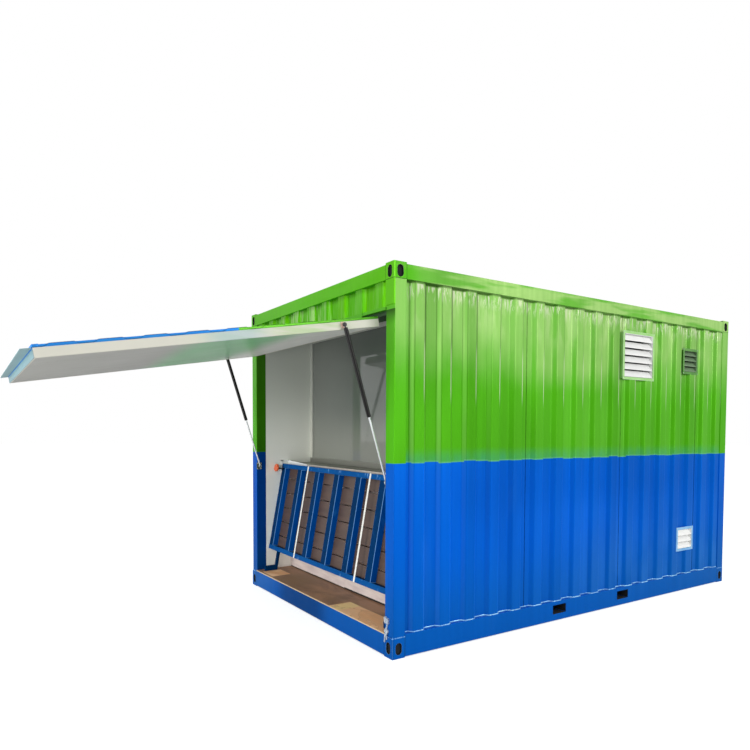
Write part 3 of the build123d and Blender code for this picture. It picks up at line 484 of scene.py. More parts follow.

# %% [markdown]
# Posts, rails and beams share one paint. What tells them apart is their place, and light and
# shade are painted from it: a painted sheen of the sky turns the front faces yellower high up,
# and painted shade darkens the sill's middle, whatever is under the flap, the blue of the front
# faces, the upper near side and the far post's inner face. Marks made from the point's place do
# this, so that one recipe serves them all.


# %% Gloss paint on bars and posts
def gloss_paint(name, glint=0.0):
    """Two-tone gloss paint, split by height. Glint adds pale painted glints, as on weld beads."""
    finish = Finish(name)
    height = finish.along("Z")
    run = finish.along("X")
    across = finish.along("Y")
    upper = wavering(finish, height).step(PAINT_LINE - PAINT_SOFT, PAINT_LINE + PAINT_SOFT)
    front = run.fall(-1.993, -1.986)
    side = across.math("ABSOLUTE").step(1.160, 1.172) * (1 - front)
    beside = (side + run.step(1.94, 1.95)).math("MINIMUM", 1.0)
    streak = finish.grain((26.0, 26.0, 0.8), 4.0)
    chalk_and_sheen = roof_sheen_and_chalk(finish, height, beside) * (streak * 0.5 + 0.75)
    sill = height.fall(0.150, 0.153) * front
    wear = bare_wear(finish, 0.60) * 0.9 + sill * across.step(0.6, 1.0) * 0.3
    near = side * run.fall(-1.75, -0.9)
    far_post = across.step(1.10, 1.117) * across.fall(1.121, 1.125) * run.fall(-1.90, -1.895)
    overhang = across.fall(-1.118, -1.112) * front * height.fall(2.286, 2.290)
    # Painted shade on the sill, front blue, upper near side, far post's inside and under the header.
    light = dimmed(
        streak * 0.16 + 0.92,
        sill * across.band(0.155, 0.40, 0.14) * 0.42,
        front * (1 - upper) * 0.16,
        near * upper * (height.step(1.35, 2.0) * 0.24 + 0.08),
        far_post * (1 - front) * 0.5,
        overhang * height.step(2.17, 2.30) * 0.8,
    )
    coat = paint_coat(finish, upper, chalk_and_sheen, wear, low_shade_share(height, run))
    # Painted sheen: high up, the front faces turn yellower in the sky's light.
    yellow = front * height.step(2.30, 2.32) * 0.55
    coat = finish.mix(yellow, finish.shade(coat, light), finish.shade(LIT_GREEN, light))
    # Glint paints pale patches, a painted glint.
    if glint:
        glint_patches = finish.grain(16.0, 3.0).step(0.34, 0.58) * 0.5 + 0.5
        coat = finish.mix(glint_patches * glint, coat, finish.mix(upper, "b4ecff", "d6f2b4"))
    return gloss_end(finish, joint_lines(finish, coat), streak, (2.6, 2.6, 0.5))


steel_paint = gloss_paint("steel_paint")
# The welds and the blocks' rims get pale patches of painted glint.
weld_paint = gloss_paint("weld_paint", glint=0.85)
rim_paint = gloss_paint("rim_paint", glint=0.55)
print("3 paints for bars, welds and rims")

# %% [markdown]
# A folded sheet shows its folds in its paint too. The flats have different tones, a teal mist
# of overspray hangs over the colour line, and light is painted on: pale painted highlights on
# one edge of the crests, in the folds under the top rail and on the near slopes, and painted
# shade under the rail and on the upper flats near the front. The recipe works out where in a
# fold the point lies, with a remainder of its run, and every mark starts from there. An image
# would show the same, but it couldn't follow new sizes.

# %% Gloss paint on folded sheets
SEAM_PITCH = 1.140
SIDE_SEAM = -0.759
REAR_SEAM = -0.342
RAIL_SHADE = 2.464


def sheet_paint(name, run_axis, first, seam, pitch, crest, slope):
    """Two-tone paint on a folded sheet, whose flats each have their own tone."""
    finish = Finish(name)
    height = finish.along("Z")
    run = finish.along(run_axis)
    start = run - (first - slope / 2)
    fold = start.math("FLOORED_MODULO", pitch)
    flat = fold.band(crest / 2 + slope / 2, crest / 2 + 0.004, 0.004)
    trough = fold.band((pitch + crest + slope) / 2, (pitch - crest) / 2 - slope + 0.004, 0.004)
    flat = flat.math("MAXIMUM", trough)
    turned = fold.band(crest + slope, slope / 2 + 0.004, 0.002)
    tone = finish.tone(start, pitch / 2)
    level = wavering(finish, height) + (tone - 0.5) * 0.012
    upper = level.step(PAINT_LINE - PAINT_SOFT, PAINT_LINE + PAINT_SOFT)
    far = run.step(-1.6, 0.0)
    near = run.fall(-1.75, -0.9)
    clear = (1 - upper) * height.step(0.8, 1.1)
    # A painted highlight on the slopes near the front, below the top.
    near_slope_highlight = near * (1 - flat) * height.fall(1.95, 2.3)
    streak = finish.grain((30.0, 30.0, 0.7), 4.0)
    thin = finish.grain((110.0, 110.0, 0.5), 2.0)
    low = finish.grain((3.0, 3.0, 1.6)).step(0.3, 0.6) * height.fall(0.3, 1.0) * run.step(-0.7, 0.5)
    # Paler high up and on the far flats: partly chalk, partly a painted sheen.
    chalk_and_sheen = roof_sheen_and_chalk(finish, height, 1.0 - far * (1 - flat) * 0.6)
    chalk_and_sheen = chalk_and_sheen * (streak * 0.5 + tone * 0.35 + 0.55)
    chalk_and_sheen = chalk_and_sheen + run.band(-0.3, 0.5, 0.3) * flat * height.band(2.0, 0.1, 0.12) * 0.26
    chalk_and_sheen = chalk_and_sheen + far * flat * (tone * 0.07 + 0.02 + low * 0.22) * (1 - clear)
    chalk_and_sheen = (chalk_and_sheen + near_slope_highlight * 0.22).math("MINIMUM", 1.0)
    coat = paint_coat(finish, upper, chalk_and_sheen, bare_wear(finish, 0.62) * 0.8, low_shade_share(height, run))
    # Pale painted highlights in the folds just under the top rail.
    under_rail_highlight = finish.grain((60.0, 60.0, 9.0), 3.0, 0.6, 0.8).step(0.50, 0.58)
    under_rail_highlight = under_rail_highlight * height.step(2.34, 2.46) * height.fall(RAIL_SHADE, RAIL_SHADE + 0.008)
    # Pale patches high up: dust and a painted sheen.
    dust_and_sheen = finish.grain((9.0, 9.0, 3.0), 4.0).step(0.48, 0.66) * height.step(2.05, 2.35)
    # A thin pale painted highlight on one edge of each crest.
    edge_highlight = fold.band(crest + slope / 2 - 0.004, 0.0034, 0.002)
    edge_highlight = edge_highlight * height.step(1.66, 1.8) * height.fall(2.0, 2.16)
    puffs = finish.grain((14.0, 14.0, 3.0), 2.0).step(0.3, 0.7) * 0.22 + 0.2
    mist = height.fall(PAINT_LINE, PAINT_LINE + 0.11) * upper
    coat = finish.layers(
        coat,
        (under_rail_highlight * 0.6, GLINT_WHITE),
        (dust_and_sheen * 0.34, "c4dc9c"),
        (edge_highlight * 0.55, GLINT_WHITE),
        (mist * puffs, TEAL),
        (level.band(PAINT_LINE + 0.005, 0.0035, 0.002) * 0.35, "7cc8a0"),
    )
    joint = (run - (seam - 0.02)).math("FLOORED_MODULO", SEAM_PITCH)
    # Painted light: near slopes and low turned edges lit, shade near the top and in a far blue band.
    light = dimmed(
        (tone - 0.5) * flat * 0.14 + streak * 0.12 + thin * 0.10 + 0.89,
        near_slope_highlight * -0.12,
        near * flat * upper * (height.step(1.35, 1.95) * 0.22 + 0.13),
        height.step(RAIL_SHADE, RAIL_SHADE + 0.010) * 0.5,
        clear * far * 0.09,
        joint.band(0.0165, 0.0022, 0.001) * 0.6,
        turned * (height.step(2.0, 2.12) * 0.42 - 0.12),
    )
    metal = (1 - turned) * 0.25
    return gloss_end(finish, finish.shade(coat, light), streak, (3.4, 3.4, 0.35), metal)


HALF_LONG = 2.0
WALL_SECTION = {"pitch": 0.228, "crest": 0.082, "slope": 0.028}
WALL_FIRST = -HALF_LONG + 0.174
REAR_FIRST = -0.041
side_sheet_paint = sheet_paint("side_sheet_paint", "X", WALL_FIRST, SIDE_SEAM, **WALL_SECTION)
rear_sheet_paint = sheet_paint("rear_sheet_paint", "Y", REAR_FIRST, REAR_SEAM, **WALL_SECTION)
print("sheet paint follows folds", WALL_SECTION["pitch"], "m apart")

# %% [markdown]
# The header over the opening is all green, leaning to the sheen-lit green of the front faces.
# Each of its flats has a tone of its own, pale streaks come down its middle, and painted shade
# darkens it under the top rail. It has no colour line and no seam, so a recipe of its own is
# shorter than one that switches half of the walls' marks off.

# %% Header paint
HALF_WIDE = 1.219
HEADER_SECTION = {"pitch": 0.256, "crest": 0.090, "slope": 0.024}
HEADER_FIRST = -HALF_WIDE + 0.153

header_finish = Finish("header_paint")
across = header_finish.along("Y")
height = header_finish.along("Z")
first_fold = HEADER_FIRST - HEADER_SECTION["slope"] / 2
tone = header_finish.tone(across - first_fold, HEADER_SECTION["pitch"] / 2)
streak = header_finish.grain((46.0, 46.0, 4.0), 4.0)
runs = streak.step(0.46, 0.60) * (across.band(0.16, 0.42, 0.22) * 0.5 + 0.12)
coat = header_finish.layers(LIT_GREEN, (tone * 0.7, GREEN), (runs, "b4d890"))
# Painted shade under the top rail.
light = dimmed(tone * 0.12 + streak * 0.12 + 0.84, height.step(2.435, 2.475) * 0.30)
header_paint = gloss_end(header_finish, header_finish.shade(coat, light), streak, (2.6, 2.6, 0.5))
print("header paint follows folds", HEADER_SECTION["pitch"], "m apart")

# %% [markdown]
# The flap carries the same two colours, but they were sprayed while it was shut. Shut, its far
# end is at the bottom, so here the colour changes with the distance from the hinge. That
# distance is worked out from the flap's slope when it is open.

# %% Flap paint
HINGE_X = -2.010
HINGE_Z = 2.268
DROOP = radians(9.7)
FLAP_PAINT_LINE = 0.98
SKY_CAST = 0.4


def hinge_distance(finish):
    """Distance along the open flap from its hinge, in metres."""
    out = (HINGE_X - finish.along("X")) * cos(DROOP)
    return out + (HINGE_Z - finish.along("Z")) * sin(DROOP)


def hinge_depth(finish):
    """Depth into the open flap's thickness, in metres."""
    inward = (finish.along("X") - HINGE_X) * sin(DROOP)
    return inward + (HINGE_Z - finish.along("Z")) * cos(DROOP)


flap_finish = Finish("flap_paint")
distance = hinge_distance(flap_finish)
upper = distance.fall(FLAP_PAINT_LINE - 0.004, FLAP_PAINT_LINE + 0.004)
streak = flap_finish.grain((0.9, 24.0, 24.0), 4.0)
wear = flap_finish.grain((5.0, 9.0, 9.0), 4.0).step(0.4, 0.7) * 0.5 + 0.2
coat = paint_coat(flap_finish, upper, streak * 0.25, wear)
# A painted reflection of the sky makes the blue part paler.
coat = flap_finish.mix((1 - upper) * SKY_CAST, coat, "3c9ad0")
flap_paint = gloss_end(flap_finish, coat, streak, (0.6, 2.6, 2.6))
print("flap paint changes colour", FLAP_PAINT_LINE, "m from the hinge")

# %% [markdown]
# Most of the smaller finishes are a colour that wanders a little between two shades, with a
# roughness and a fine bump that wander too. One function makes them, and each call says how
# large the blobs are on each axis, because brushed, rolled and woven things are stretched
# differently.


# %% Plain finishes
def mottled(name, first, second, sizes, rough, bump=0.0003, **sockets):
    """A finish that wanders between two colours and two roughnesses."""
    finish = Finish(name)
    cloud = finish.grain(sizes, 4.0)
    fine = finish.grain([9 * size for size in three(sizes)], 2.0)
    spread = (cloud - 0.3).math("MULTIPLY", 2.2).math("MINIMUM", 1.0).math("MAXIMUM", 0.0)
    return finish.surface(
        Base_Color=finish.mix(spread, first, second),
        Roughness=fine * (rough[1] - rough[0]) + rough[0],
        Normal=finish.bump(fine, bump),
        **sockets,
    )


def lit_sheet(name, low_tone, high_tone, low_shade_tone=None):
    """Painted light on a smooth sheet: paler near the floor, where the open front lights it."""
    finish = Finish(name)
    cloud = finish.grain((1.5, 1.5, 0.8), 4.0)
    share = finish.along("Z").step(1.15, 2.1) + (cloud - 0.5) * 0.15
    coat = finish.mix(share, low_tone, high_tone)
    # A low shade tone paints shade on the sheet below 1.225 m.
    if low_shade_tone:
        coat = finish.mix(finish.along("Z").fall(1.223, 1.228), coat, low_shade_tone)
    return finish.surface(
        Base_Color=coat,
        Roughness=cloud * 0.15 + 0.35,
        Normal=finish.bump(cloud, 0.0006),
    )


lining_finish = lit_sheet("lining_sheet", "fffff6", "cbcfc6")
frame_bar = lit_sheet("screen_bar", "c8c8be", "a9aca4", "7c7c74")
ceiling_finish = mottled("ceiling_sheet", "8d938c", "9aa09a", (1.5, 1.5, 0.8), (0.4, 0.55))
primer = mottled("underside_primer", "3b4a57", "4c5b66", 6.0, (0.5, 0.8))
# Near-black paint stands for the shade inside castings and pockets: a painted shade.
casting_shade = mottled("casting_inside", "07090b", "101418", 9.0, (0.8, 0.95))
white_plastic = mottled("white_louvre", "e8e9e6", "f4f4f2", 4.0, (0.35, 0.5))
grey_plastic = mottled("grey_louvre", "5f7a58", "7c9674", 8.0, (0.4, 0.6))
louvre_green = mottled("louvre_frame_green", "8cc46a", "a9d98c", 9.0, (0.3, 0.45))
louvre_deep = mottled("louvre_frame_deep", "3b7a1c", "55942f", 9.0, (0.3, 0.45))
louvre_blue = mottled("louvre_frame_blue", "6aa9dc", "92c3e8", 9.0, (0.3, 0.45))
# The zinc's fine pale flecks are painted glints.
zinc = mottled("zinc_plate", "557391", "eef4fa", 110.0, (0.3, 0.5), Metallic=0.3)
bracket_steel = mottled("bracket_steel", "434a3c", "5d6452", 50.0, (0.4, 0.6))
black_paint = mottled("black_tube", "070606", "131111", 8.0, (0.25, 0.4), Specular_IOR_Level=0.25)
chrome = mottled("bright_rod", "dfe3e6", "f2f4f5", (20.0, 20.0, 4.0), (0.1, 0.2), Metallic=0.6)
webbing = mottled("white_webbing", "e3e2dc", "f6f5f1", 220.0, (0.7, 0.9), 0.0008)
orange_plastic = mottled("orange_knob", "d8552a", "ee7340", 30.0, (0.3, 0.45))
pink_primer = mottled("bracket_primer", "d9b4a2", "f0d8c8", 60.0, (0.4, 0.6))
counter_grain = mottled("counter_board", "74726a", "86847c", 3.0, (0.3, 0.5))
edge_strip = mottled("counter_edge", "c9bcb2", "ddd3ca", 20.0, (0.4, 0.6))
white_trim = mottled("white_trim", "f4f4f2", "ffffff", 12.0, (0.35, 0.5))
kick_finish = mottled("counter_front_sheet", "cbbcb8", "eaddd6", (9.0, 5.0, 26.0), (0.6, 0.8), 0.001)
plinth_dark = mottled("plinth_shadow", "100c0a", "1d1714", 9.0, (0.7, 0.9))
shaded_green = mottled("shaded_green", "0c3408", "14460c", 9.0, (0.5, 0.7))
screw_steel = mottled("screw_heads", "b4b8ba", "e0e2e2", 90.0, (0.3, 0.5), Metallic=0.4)
print("plain finishes are ready")

# %% [markdown]
# The flap's metal trim shows painted reflections of whatever is near: green close to the wall,
# a little blue further out. Past the end of the panel it is a bare teal lip, with a blue line
# where the skin ends. A mirror-like metal would pick up the studio instead, so the reflections
# are laid on its colour by the distance from the hinge and the depth.

# %% Flap trim finish
trim_finish = Finish("flap_edge_trim")
distance = hinge_distance(trim_finish)
cloud = trim_finish.grain(2.0, 3.0)
green_cast = distance.fall(0.4, 1.5) * distance.step(0.1, 0.5)
green_cast = green_cast * trim_finish.grain((3.0, 3.0, 30.0)).step(0.3, 0.6)
blue_line = hinge_depth(trim_finish).fall(0.034, 0.038)
end = trim_finish.mix(blue_line, trim_finish.mix(cloud, "55757c", "6d8f95"), "1d6cb0")
coat = trim_finish.layers(
    trim_finish.mix(cloud, "cdcbbf", "dcdacd"),
    (green_cast * 0.62, "a2c67e"),
    (distance.band(1.0, 0.16, 0.1) * 0.4, "7fb4c4"),
    (distance.step(2.0315, 2.0345), end),
    (distance.step(2.037, 2.039), trim_finish.mix(cloud, "76989e", "93b5ba")),
)
edge_white = trim_finish.surface(
    Base_Color=coat,
    Roughness=cloud * 0.2 + 0.3,
    Specular_IOR_Level=0.25,
    Normal=trim_finish.bump(trim_finish.grain(12.0), 0.0006),
)
print("flap trim turns teal past the panel's end")

# %% [markdown]
# The deck hangs in the shade, and its light is painted: its blue is deeper on the faces that
# look forward, in painted shade, and clearer on the ribs' sides, in painted light. It is
# scuffed on the two rails that people tread on.

# %% Deck steel
def deck_coat(name, first, second, scuffed):
    """Blue paint of the deck, scuffed by boots."""
    finish = Finish(name)
    cloud = finish.grain(5.0, 4.0)
    scuff = finish.grain((30.0, 30.0, 9.0), 5.0).step(0.60, 0.72) * 0.5
    coat = finish.mix(scuff, finish.mix(cloud, first, second), scuffed)
    return finish.surface(
        Base_Color=coat,
        Roughness=cloud * 0.2 + 0.45,
        Specular_IOR_Level=0.02,
        Normal=finish.bump(finish.grain(120.0, 1.0), 0.0003),
    )


deck_front_shaded = deck_coat("deck_front_paint", "00284c", "00366a", "124a86")
deck_side_lit = deck_coat("deck_side_paint", "004a9e", "005aba", "2878c8")
deck_rail = deck_coat("deck_rail_paint", "044280", "10589c", "7fb0e4")
# The rounded edges are paler: rubbed bare, and lit by a painted highlight.
rubbed_highlight_finish = Finish("deck_rubbed_edge")
patch = rubbed_highlight_finish.grain(18.0, 4.0)
rubbed_edge_highlight = rubbed_highlight_finish.surface(
    Base_Color=rubbed_highlight_finish.mix(patch, "2d74be", "7ab2ea"),
    Roughness=patch * 0.2 + 0.3,
    Specular_IOR_Level=0.4,
)
print("deck paint and its rubbed edges are ready")

# %% [markdown]
# Timber is told by its grain: fine dark fibres and broad waves, both stretched along the board.
# A photograph of wood would repeat and would have to be wrapped. Noise whose blobs are long on
# one axis gives the grain at any size, and goes right through the board to its cut ends.


# %% Timber
def timber(name, light, dark, along_grain):
    """Boards whose grain is stretched along one axis, 0 for x, 1 for y or 2 for z."""
    finish = Finish(name)
    sizes = [34.0, 34.0, 34.0]
    sizes[along_grain] = 1.6
    fibre = finish.grain(sizes, 6.0, 0.6, 0.6)
    sizes = [5.0, 5.0, 5.0]
    sizes[along_grain] = 0.7
    broad = finish.grain(sizes, 3.0, 0.5, 0.3)
    return finish.surface(
        Base_Color=finish.mix(fibre * 0.55 + broad * 0.6 - 0.2, dark, light),
        Roughness=fibre * 0.25 + 0.35,
        Normal=finish.bump(fibre, 0.0006),
    )


deck_timber = timber("deck_board", "6b5347", "3c2e27", 1)
# Near-black board edges are painted shade in the gaps between the boards.
board_edge_shade = timber("deck_board_edges", "241a15", "120c0a", 1)
print("two timbers for the deck")

# %% [markdown]
# The floor in front of the counter is worn brown, and two patches of it, at the left and at the
# right, are fresh and pale. The patches have ragged edges, so the same stain noise that colours
# the wood shifts their limits. More boards could be modelled, but the change is only in colour.

# %% Floor boards
LEFT_PATCH = (0.905, 0.118)
RIGHT_PATCH_END = -0.342
PATCH_BACK = -1.80
BOARD_FRONT = -1.998

floor_finish = Finish("floor_ply")
fibre = floor_finish.grain((30.0, 2.0, 30.0), 6.0, 0.6, 0.6)
stain = floor_finish.grain((5.0, 3.0, 5.0), 4.0, 0.55, 0.5)
east = floor_finish.along("X")
across = floor_finish.along("Y")
ragged = (stain - 0.5) * 0.05
ragged_across = across + ragged * 0.3
left_patch = ragged_across.band(*LEFT_PATCH, 0.006) * east.step(-1.985, -1.975)
left_patch = left_patch * (east + ragged * 0.3).fall(PATCH_BACK, PATCH_BACK + 0.008)
taper = (across * -1 - 0.82).math("MAXIMUM", 0.0) * 0.65
reach = (east + taper + ragged * 0.4).fall(PATCH_BACK - 0.012, PATCH_BACK)
right_patch = ragged_across.fall(RIGHT_PATCH_END, RIGHT_PATCH_END + 0.010) * reach
pale = (left_patch + right_patch).math("MINIMUM", 1.0)
worn = floor_finish.mix(stain.step(0.35, 0.65), "7c5c46", "a87e5e")
worn = floor_finish.mix(across.band(0.55, 0.2, 0.15), worn, "8d6c4e")
fresh = floor_finish.layers(
    floor_finish.mix(stain.step(0.4, 0.6), "eab07c", "fac898"),
    (across.band(-0.42, 0.07, 0.02), "fad898"),
    (stain.band(0.5, 0.01, 0.01) * 0.4, "c08a60"),
)
front_edge = east.fall(BOARD_FRONT, BOARD_FRONT + 0.002)
coat = floor_finish.layers(worn, (pale, fresh), (front_edge, "d8bc90"))
floor_timber = floor_finish.surface(
    Base_Color=floor_finish.shade(coat, fibre * 0.3 + 0.85),
    Roughness=fibre * 0.25 + 0.4,
    Normal=floor_finish.bump(fibre, 0.0005),
)
print("floor boards have two pale patches")

# %% [markdown]
# The screen's glass shows little of the dark room behind it, and mostly the pale surroundings.
# Clear glass would let the whole room show, so this one is a tinted sheet that lets a third of
# the light through. Its colour holds painted reflections of the surroundings: paler low down
# and at its left end.

# %% Glass
glass_finish = Finish("screen_glass")
haze = glass_finish.grain((1.2, 1.2, 0.6), 3.0)
right = glass_finish.along("Y").fall(-0.2, 0.9)
low = glass_finish.along("Z").fall(1.25, 1.75)
tint = glass_finish.mix(right, "828782", "5f6862")
tint = glass_finish.mix((low * 0.75 + haze * 0.2), tint, "a4a69c")
screen_glazing = glass_finish.surface(
    Base_Color=tint,
    Roughness=haze * 0.04 + 0.03,
    IOR=1.6,
    Transmission_Weight=0.3,
)
print("glass is ready")

# %% [markdown]
# Only a few of the frame's solids are seen as they are: linings, floor, glass, hinges and
# struts. They get their finish here. Each of the others gets a finer piece in its place further
# on, made from the solid or built anew, and takes its finish then.


# %% Dress the solids that stay
def dress(node, material):
    """Give a solid of the frame its finish."""
    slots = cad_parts[node].data.materials
    slots.clear()
    slots.append(material)


for node, material in (
    ("floor_cross_members", primer),
    ("floor_boards", floor_timber),
    ("right_lining", lining_finish),
    ("left_lining", lining_finish),
    ("rear_lining", lining_finish),
    ("ceiling_lining", ceiling_finish),
    ("screen_glass", screen_glazing),
    ("hinge_fixed_leaves", steel_paint),
    ("hinge_moving_leaves", flap_paint),
    ("right_strut_tube", black_paint),
    ("left_strut_tube", black_paint),
    ("right_strut_rod", chrome),
    ("left_strut_rod", chrome),
):
    dress(node, material)
print(len(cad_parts), "solids in the frame")

# %% [markdown]
# The solids have perfectly sharp edges, and nothing made of steel does. A sharp edge catches no
# light, while a rounded one draws the thin bright line that tells the eye how thick a thing is.
# So each bar, block and post is rebuilt from its solid: the triangles of its flat faces are
# joined, its edges are rounded, and the finer piece takes the solid's place.


# %% Pieces and meshes
BOX_FACES = ((0, 1, 3, 2), (4, 6, 7, 5), (0, 4, 5, 1), (2, 3, 7, 6), (0, 2, 6, 4), (1, 5, 7, 3))
SHARP = radians(30)


def add_piece(name, shape, body, *materials, smooth=50):
    """Put a mesh that is ready into the scene, as a piece that rides on a body."""
    mesh = bpy.data.meshes.new(name)
    shape.to_mesh(mesh)
    shape.free()
    mesh.shade_smooth()
    mesh.set_sharp_from_angle(angle=radians(smooth))
    piece = bpy.data.objects.new(name, mesh)
    scene.collection.objects.link(piece)
    for material in materials:
        mesh.materials.append(material)
    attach(piece, body)
    print(name, "has", len(mesh.polygons), "faces")
    return piece


def keep_flats_flat(piece):
    """Let large faces rule the shading, so that roundings don't bend it."""
    weighted = piece.modifiers.new("flat_faces", "WEIGHTED_NORMAL")
    weighted.keep_sharp = True
    weighted.weight = 80


def sharp_edges(shape):
    """The edges of a mesh that are not between nearly level faces."""
    return [edge for edge in shape.edges if edge.calc_face_angle(0) > SHARP]


def own_piece(shape, name, body, slot, *materials, bevel=0.0, node=None):
    """Finish a mesh made here, rounded if asked, as a piece that may stand for a solid."""
    bmesh.ops.recalc_face_normals(shape, faces=shape.faces)
    if bevel:
        geom = sharp_edges(shape)
        bmesh.ops.bevel(shape, geom=geom, offset=bevel, segments=2, profile=0.5, affect="EDGES")
    piece = add_piece(name, shape, body, *materials)
    if node:
        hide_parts(node)
    return piece


def rounded(node, body, slot, width, *materials, choose=None):
    """Rebuild a solid with its edges rounded by a width in metres, the last material on them.

    Choose, where given, picks the number of a face's material from its middle and normal.
    """
    shape = bmesh.new()
    shape.from_mesh(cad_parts[node].data)
    bmesh.ops.remove_doubles(shape, verts=shape.verts, dist=1e-5)
    shape.normal_update()
    for face in shape.faces:
        number = choose(face.calc_center_median(), face.normal) if choose else 0
        face.material_index = number
    bmesh.ops.dissolve_limit(
        shape,
        angle_limit=radians(1),
        verts=shape.verts,
        edges=shape.edges,
        delimit={"MATERIAL"},
    )
    bmesh.ops.bevel(
        shape,
        geom=sharp_edges(shape),
        offset=width,
        offset_type="OFFSET",
        segments=2,
        profile=0.5,
        affect="EDGES",
        clamp_overlap=True,
        material=len(materials) - 1,
    )
    piece = add_piece(node + "_rounded", shape, body, *materials)
    keep_flats_flat(piece)
    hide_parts(node)


print("edges sharper than", round(SHARP, 2), "radians are rounded")

# %% [markdown]
# Plates and boards made here are all slabs, and screws and nuts are studs: short cones that are
# a little narrower on top. A slab is written as three pairs of limits. What those mean is left
# to a small function, so that the same slab can lie level, lean with the deck or slope with the
# flap.


# %% Slabs and studs
def plain_place(x, y, z):
    """A place in the container's own directions."""
    return (x, y, z)


def slab(shape, put, firsts, seconds, thirds):
    """Add a six-sided slab to a mesh, between limits in the directions that put knows."""
    corners = [shape.verts.new(put(a, b, c)) for a in firsts for b in seconds for c in thirds]
    for face in BOX_FACES:
        shape.faces.new([corners[n] for n in face])


def stud(shape, centre, axis, radius, high, sides=12):
    """Add a short round stud with a softer end to a mesh, standing on its centre."""
    turn = Vector((0, 0, 1)).rotation_difference(Vector(axis)).to_matrix().to_4x4()
    bmesh.ops.create_cone(
        shape,
        cap_ends=True,
        segments=sides,
        radius1=radius,
        radius2=radius * 0.8,
        depth=high,
        matrix=Matrix.Translation(centre) @ turn @ Matrix.Translation((0, 0, high / 2)),
    )


def slab_piece(name, body, slot, put, slabs, *materials, **extra):
    """Make a piece of slabs alone, each given as three pairs of limits."""
    shape = bmesh.new()
    for limits in slabs:
        slab(shape, put, *limits)
    return own_piece(shape, name, body, slot, *materials, **extra)


print("slabs have", len(BOX_FACES), "faces")

# %% [markdown]
# The eight corner blocks are hollow castings with slots, for locks and hooks. Their rounded
# edges get a paint of their own, with pale patches of painted glint, and the walls of the
# hollow get near-black paint, a painted shade. Which face is which is told by its depth inside
# the block.

# %% Corner blocks
BLOCKS = ("bottom_corner_blocks", "top_corner_blocks")
BLOCK_WALL = 0.012
solid_high = Vector(solid_box[1])


def inside_block(middle, normal):
    """Give 1 to the inner walls of the blocks whose box is low and high, and 0 to the rest."""
    depths = (
        HALF_LONG - abs(middle.x),
        solid_high.y - abs(middle.y),
        middle.z - low.z,
        high.z - middle.z,
        abs(middle.x) - BLOCK_X,
        abs(middle.y) - BLOCK_Y,
    )
    return int(min(depths) > BLOCK_WALL * 0.3)


for node in BLOCKS:
    low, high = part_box(node)
    paints = (steel_paint, casting_shade, rim_paint)
    rounded(node, "shell", "steel_body", 0.006, *paints, choose=inside_block)

# %% [markdown]
# Through a block's slot you look into a thick casting in deep shade, not out of the slot on its
# other side. Real walls could be modelled inside. A near-black core a little smaller than the
# hollow stands in for them with six faces, and its colour is painted shade.

# %% Cores of the corner blocks
CORE_DEEP = 0.0145
CORE_END = 0.014
CORE_INNER = 0.015

cores = []
for node in BLOCKS:
    low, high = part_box(node)
    for east in (-1, 1):
        for across in (-1, 1):
            xs = sorted((east * (HALF_LONG - CORE_DEEP), east * (BLOCK_X + CORE_INNER)))
            ys = sorted((across * (solid_high.y - CORE_DEEP), across * (BLOCK_Y + CORE_INNER)))
            cores.append((xs, ys, (low.z + CORE_END, high.z - CORE_END)))
slab_piece("corner_block_cores", "shell", "steel_body", plain_place, cores, casting_shade)

# %% [markdown]
# The fork pockets are tubes right through the base, for a lift truck. Their rims are painted,
# and inside they get near-black paint, a painted shade, so a face is told apart by the way it
# looks.


# %% Fork pockets
def pocket_face(middle, normal):
    """Give 0 to the rims that show in the long sides and 1 to the pockets' own walls."""
    return int(abs(normal.y) < 0.9)


paints = (steel_paint, casting_shade, steel_paint)
rounded("fork_pockets", "shell", "steel_body", 0.002, *paints, choose=pocket_face)

# %% [markdown]
# Posts, rails and sills are folded or rolled bars. Heavy bars have wider roundings than thin
# ones, and nothing else about them differs, so a table of names and widths is enough.

# %% Posts and rails
for names, width in (
    ("front_right_post front_left_post rear_right_post rear_left_post", 0.006),
    ("right_top_rail left_top_rail front_top_rail rear_top_rail", 0.006),
    ("right_bottom_rail left_bottom_rail front_sill rear_bottom_rail", 0.0035),
    ("header_beam", 0.004),
):
    for node in names.split():
        rounded(node, "shell", "steel_body", width, steel_paint)

# %% [markdown]
# The walls are one idea used again and again: a thin sheet pressed into flat crests and troughs
# with sloping webs between them. The line of its section is worked out first, then each corner
# of that line is turned into a small arc, because a press can't fold steel sharply. Dragging the
# line up the wall gives the sheet's outer face, and a Solidify modifier gives its thickness.


# %% Section of a folded sheet
BEND = 0.006
BEND_STEPS = 4
SHEET = 0.002


def height_at(line, run):
    """The height of a section line at a run."""
    for (u0, v0), (u1, v1) in zip(line, line[1:]):
        if u0 <= run <= u1:
            return v0 + (v1 - v0) * (run - u0) / (u1 - u0)
    return line[-1][1]


def bend_corners(line):
    """Turn each inner corner of a line into a small arc."""
    smooth = [line[0]]
    for before, corner, after in zip(line, line[1:], line[2:]):
        arms = []
        for other in (before, after):
            arm = Vector(other) - Vector(corner)
            arms.append(arm.normalized() * min(BEND, arm.length * 0.45))
        for step in range(BEND_STEPS):
            t = step / (BEND_STEPS - 1)
            point = Vector(corner) + arms[0] * (1 - t) ** 2 + arms[1] * t**2
            smooth.append(tuple(point))
    return smooth + [line[-1]]


